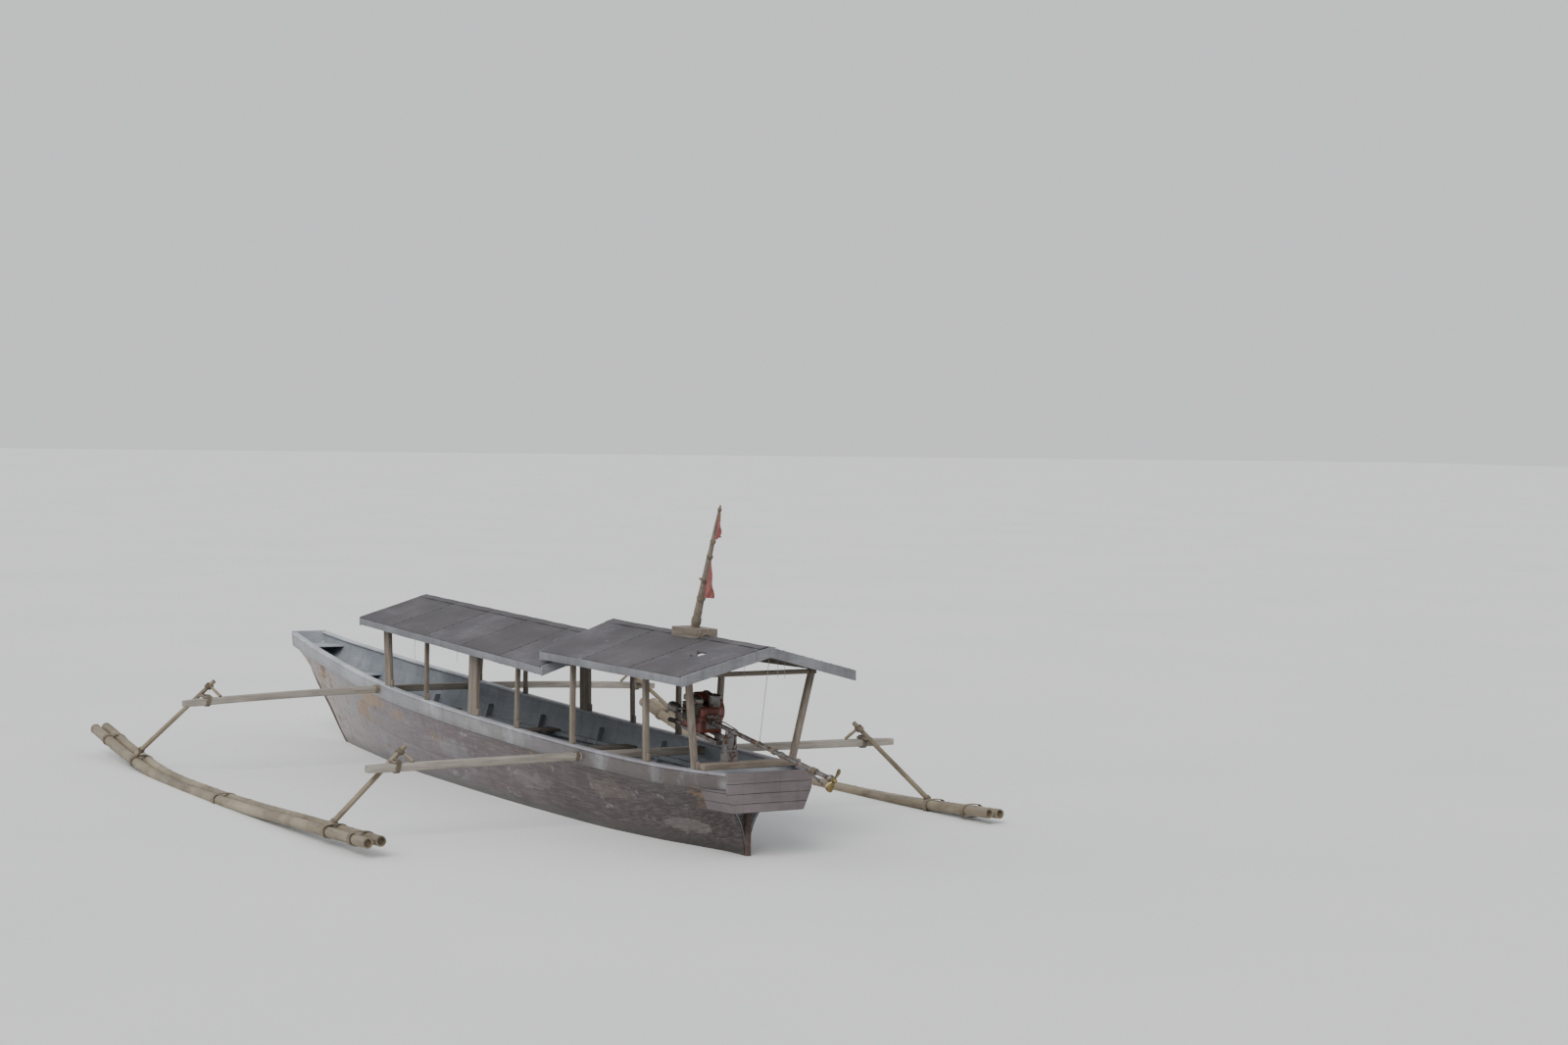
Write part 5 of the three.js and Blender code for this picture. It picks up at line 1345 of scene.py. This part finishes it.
def rubber_finish():
    """Black rubber, scuffed grey."""
    f = Finish("grip_rubber", 0.8)
    scuff = f.noise(60.0, None, 6.0, 0.65)
    f.colour(f.ramp(scuff, [(0.35, "#1a1a1b"), (0.7, "#343436")]))
    f.rough(scuff, 0.65, 0.95)
    f.bump(scuff, 0.3, 0.0006)
    return f.material


photo_camera()
studio()

HULL = hull_paint()
INSIDE = worn_paint("inside_paint", "X", "#6a7077", "#848a90", "#5c4a3c", 0.8, 0.4)
STRAKE_PAINT = worn_paint("strake_paint", "X", "#7c7d81", "#98999b", "#6b5848", 0.8, 0.6, "#4c4644")
# The rail's grey is set paler than the strake's: partly its paint, partly a painted highlight standing for
# the lit top of the rail.
RAIL_PAINT_AND_HIGHLIGHT = worn_paint("rail_paint", "X", "#8b8f97", "#b0b3b7", "#7a6857", 0.9, 0.3, "#77747a")
DECK_PAINT = worn_paint("deck_paint", "Y", "#7d828a", "#9ba0a5", "#6d5a49", 0.9, 0.4)
TRANSOM_PAINT = worn_paint("transom_paint", "Y", "#4e4648", "#645c5e", "#43362f", 0.9, 0.6,
                           seams=(0.512, 0.598, 0.687))
FASCIA_PAINT = worn_paint("fascia_paint", "X", "#55565a", "#74757a", "#463a33", 0.8, 0.4)
GABLE_PAINT = worn_paint("gable_paint", "Y", "#55565a", "#74757a", "#463a33", 0.8, 0.4)
UPRIGHT = bare_timber("post_timber", "Z", "#463e37", "#655c52", "#837a6f")
LENGTHWISE = bare_timber("long_timber", "X", "#453c35", "#645a50", "#81786d")
CROSSWISE = bare_timber("cross_timber", "Y", "#453c35", "#645a50", "#81786d")
BOOM_WOOD = bare_timber("boom_timber", "Y", "#5b554f", "#7f7970", "#a29d95", 0.35)
KEEL_WOOD = bare_timber("keel_timber", "X", "#2f2624", "#463833", "#5d4d45", 0.8)
BAMBOO = bamboo_skin("float_bamboo", "#4f463a", "#6f6553", "#948a76")
ROPE = rope_finish()
ROOFING = {roof: roofing(f"{roof}_roofing", aft, wide)
           for roof, aft, wide in (("front", 2.56, 0.904), ("aft", -0.30, 0.98))}
RED_CLOTH = cloth_finish("pennant_cloth", "#5a2321", "#7f443e")
CANVAS = cloth_finish("curtain_cloth", "#4b3b3c", "#6f6060")

for word, side in (("port", 1), ("starboard", -1)):
    planking(side, word, HULL, INSIDE)
    sheer(side, word, STRAKE_PAINT, RAIL_PAINT_AND_HIGHLIGHT)
    outrigger_float(word, BAMBOO, ROPE)
    for roof in ROOFS:
        roof_slope(roof, side, word, ROOFING[roof], FASCIA_PAINT)
        roof_frame(roof, side, word, UPRIGHT, LENGTHWISE, CROSSWISE, ROPE)
    softened(f"counter_side_{word}", TRANSOM_PAINT, 0.003)
    softened(f"ribs_and_riser_{word}", INSIDE, 0.003)
for name in STRUTS:
    strut(name, BAMBOO, CROSSWISE, ROPE)
for name in BOOMS:
    outrigger_boom(name, BOOM_WOOD, ROPE)
for roof in ROOFS:
    ridge_cap(roof, ROOFING[roof])
    cabin_ties(roof, CROSSWISE)
    softened(f"ridge_pole_{roof}", LENGTHWISE, 0.004)
    for end in ("fore", "aft"):
        softened(f"gable_board_{roof}_{end}", GABLE_PAINT, 0.004)
for node, finish, slot, bevel in (
        ("foredeck", DECK_PAINT, "deck_paint", 0.003),
        ("fore_locker_deck", DECK_PAINT, "deck_paint", 0.003),
        ("aft_deck", DECK_PAINT, "deck_paint", 0.003), ("thwart_118", CROSSWISE, "bare_wood", 0.004),
        ("thwart_335", CROSSWISE, "bare_wood", 0.004), ("thwart_500", CROSSWISE, "bare_wood", 0.004),
        ("thwart_725", CROSSWISE, "bare_wood", 0.004), ("floorboards", LENGTHWISE, "bare_wood", 0.002),
        ("keel_and_stem", KEEL_WOOD, "keel", 0.006), ("stern_counter", TRANSOM_PAINT, "hull_paint", 0.004),
        ("transom", TRANSOM_PAINT, "strake_paint", 0.004), ("stern_board", HULL, "hull_paint", 0.003),
        ("bow_board", DECK_PAINT, "strake_paint", 0.004), ("stern_beam", CROSSWISE, "bare_wood", 0.006),
        ("flagstaff_base", LENGTHWISE, "bare_wood", 0.006)):
    softened(node, finish, bevel)
flagstaff(UPRIGHT, ROPE)
loose_strings(ROPE)
lifting_line(ROPE)
pennant("pennant_upper", 0.72, 0.97, 0.110, 0.040, RED_CLOTH)
pennant("pennant_lower", 0.26, 0.58, 0.190, 0.010, RED_CLOTH)
rolled_curtain(CANVAS, ROPE)
CASE_PAINT = engine_paint("engine_enamel", "#5e261c", "#7c4436")
TANK_ENAMEL = engine_paint("tank_enamel", "#6a2a1e", "#8a4c3c", 0.2)
ALLOY = metal("cast_alloy", "#5f5d5a", "#86837d", "#6b4a36", 0.2, 0.55)
DARK_IRON = metal("dark_iron", "#2c2b2b", "#4a4846", "#5a3826", 0.5, 0.6, 0.6)
STEEL = metal("rusty_steel", "#5d5c5a", "#84827f", "#6a3f28", 0.6, 0.5)
BRONZE = metal("propeller_bronze", "#5d5036", "#83734d", "#4b5440", 0.3, 0.4)
RUBBER = rubber_finish()
engine_castings(CASE_PAINT, ALLOY, DARK_IRON)
exhaust(STEEL)
tank_and_filter(TANK_ENAMEL, STEEL, DARK_IRON)
tiller_arm(STEEL, RUBBER)
tail_fittings(STEEL, ROPE)
propeller_blades(BRONZE)
mount_fittings(STEEL)
softened("tail_frame", STEEL, 0.002, "engine")
softened("engine_swivel", STEEL, 0.002, "swivel")
softened("engine_socket", STEEL, 0.003)
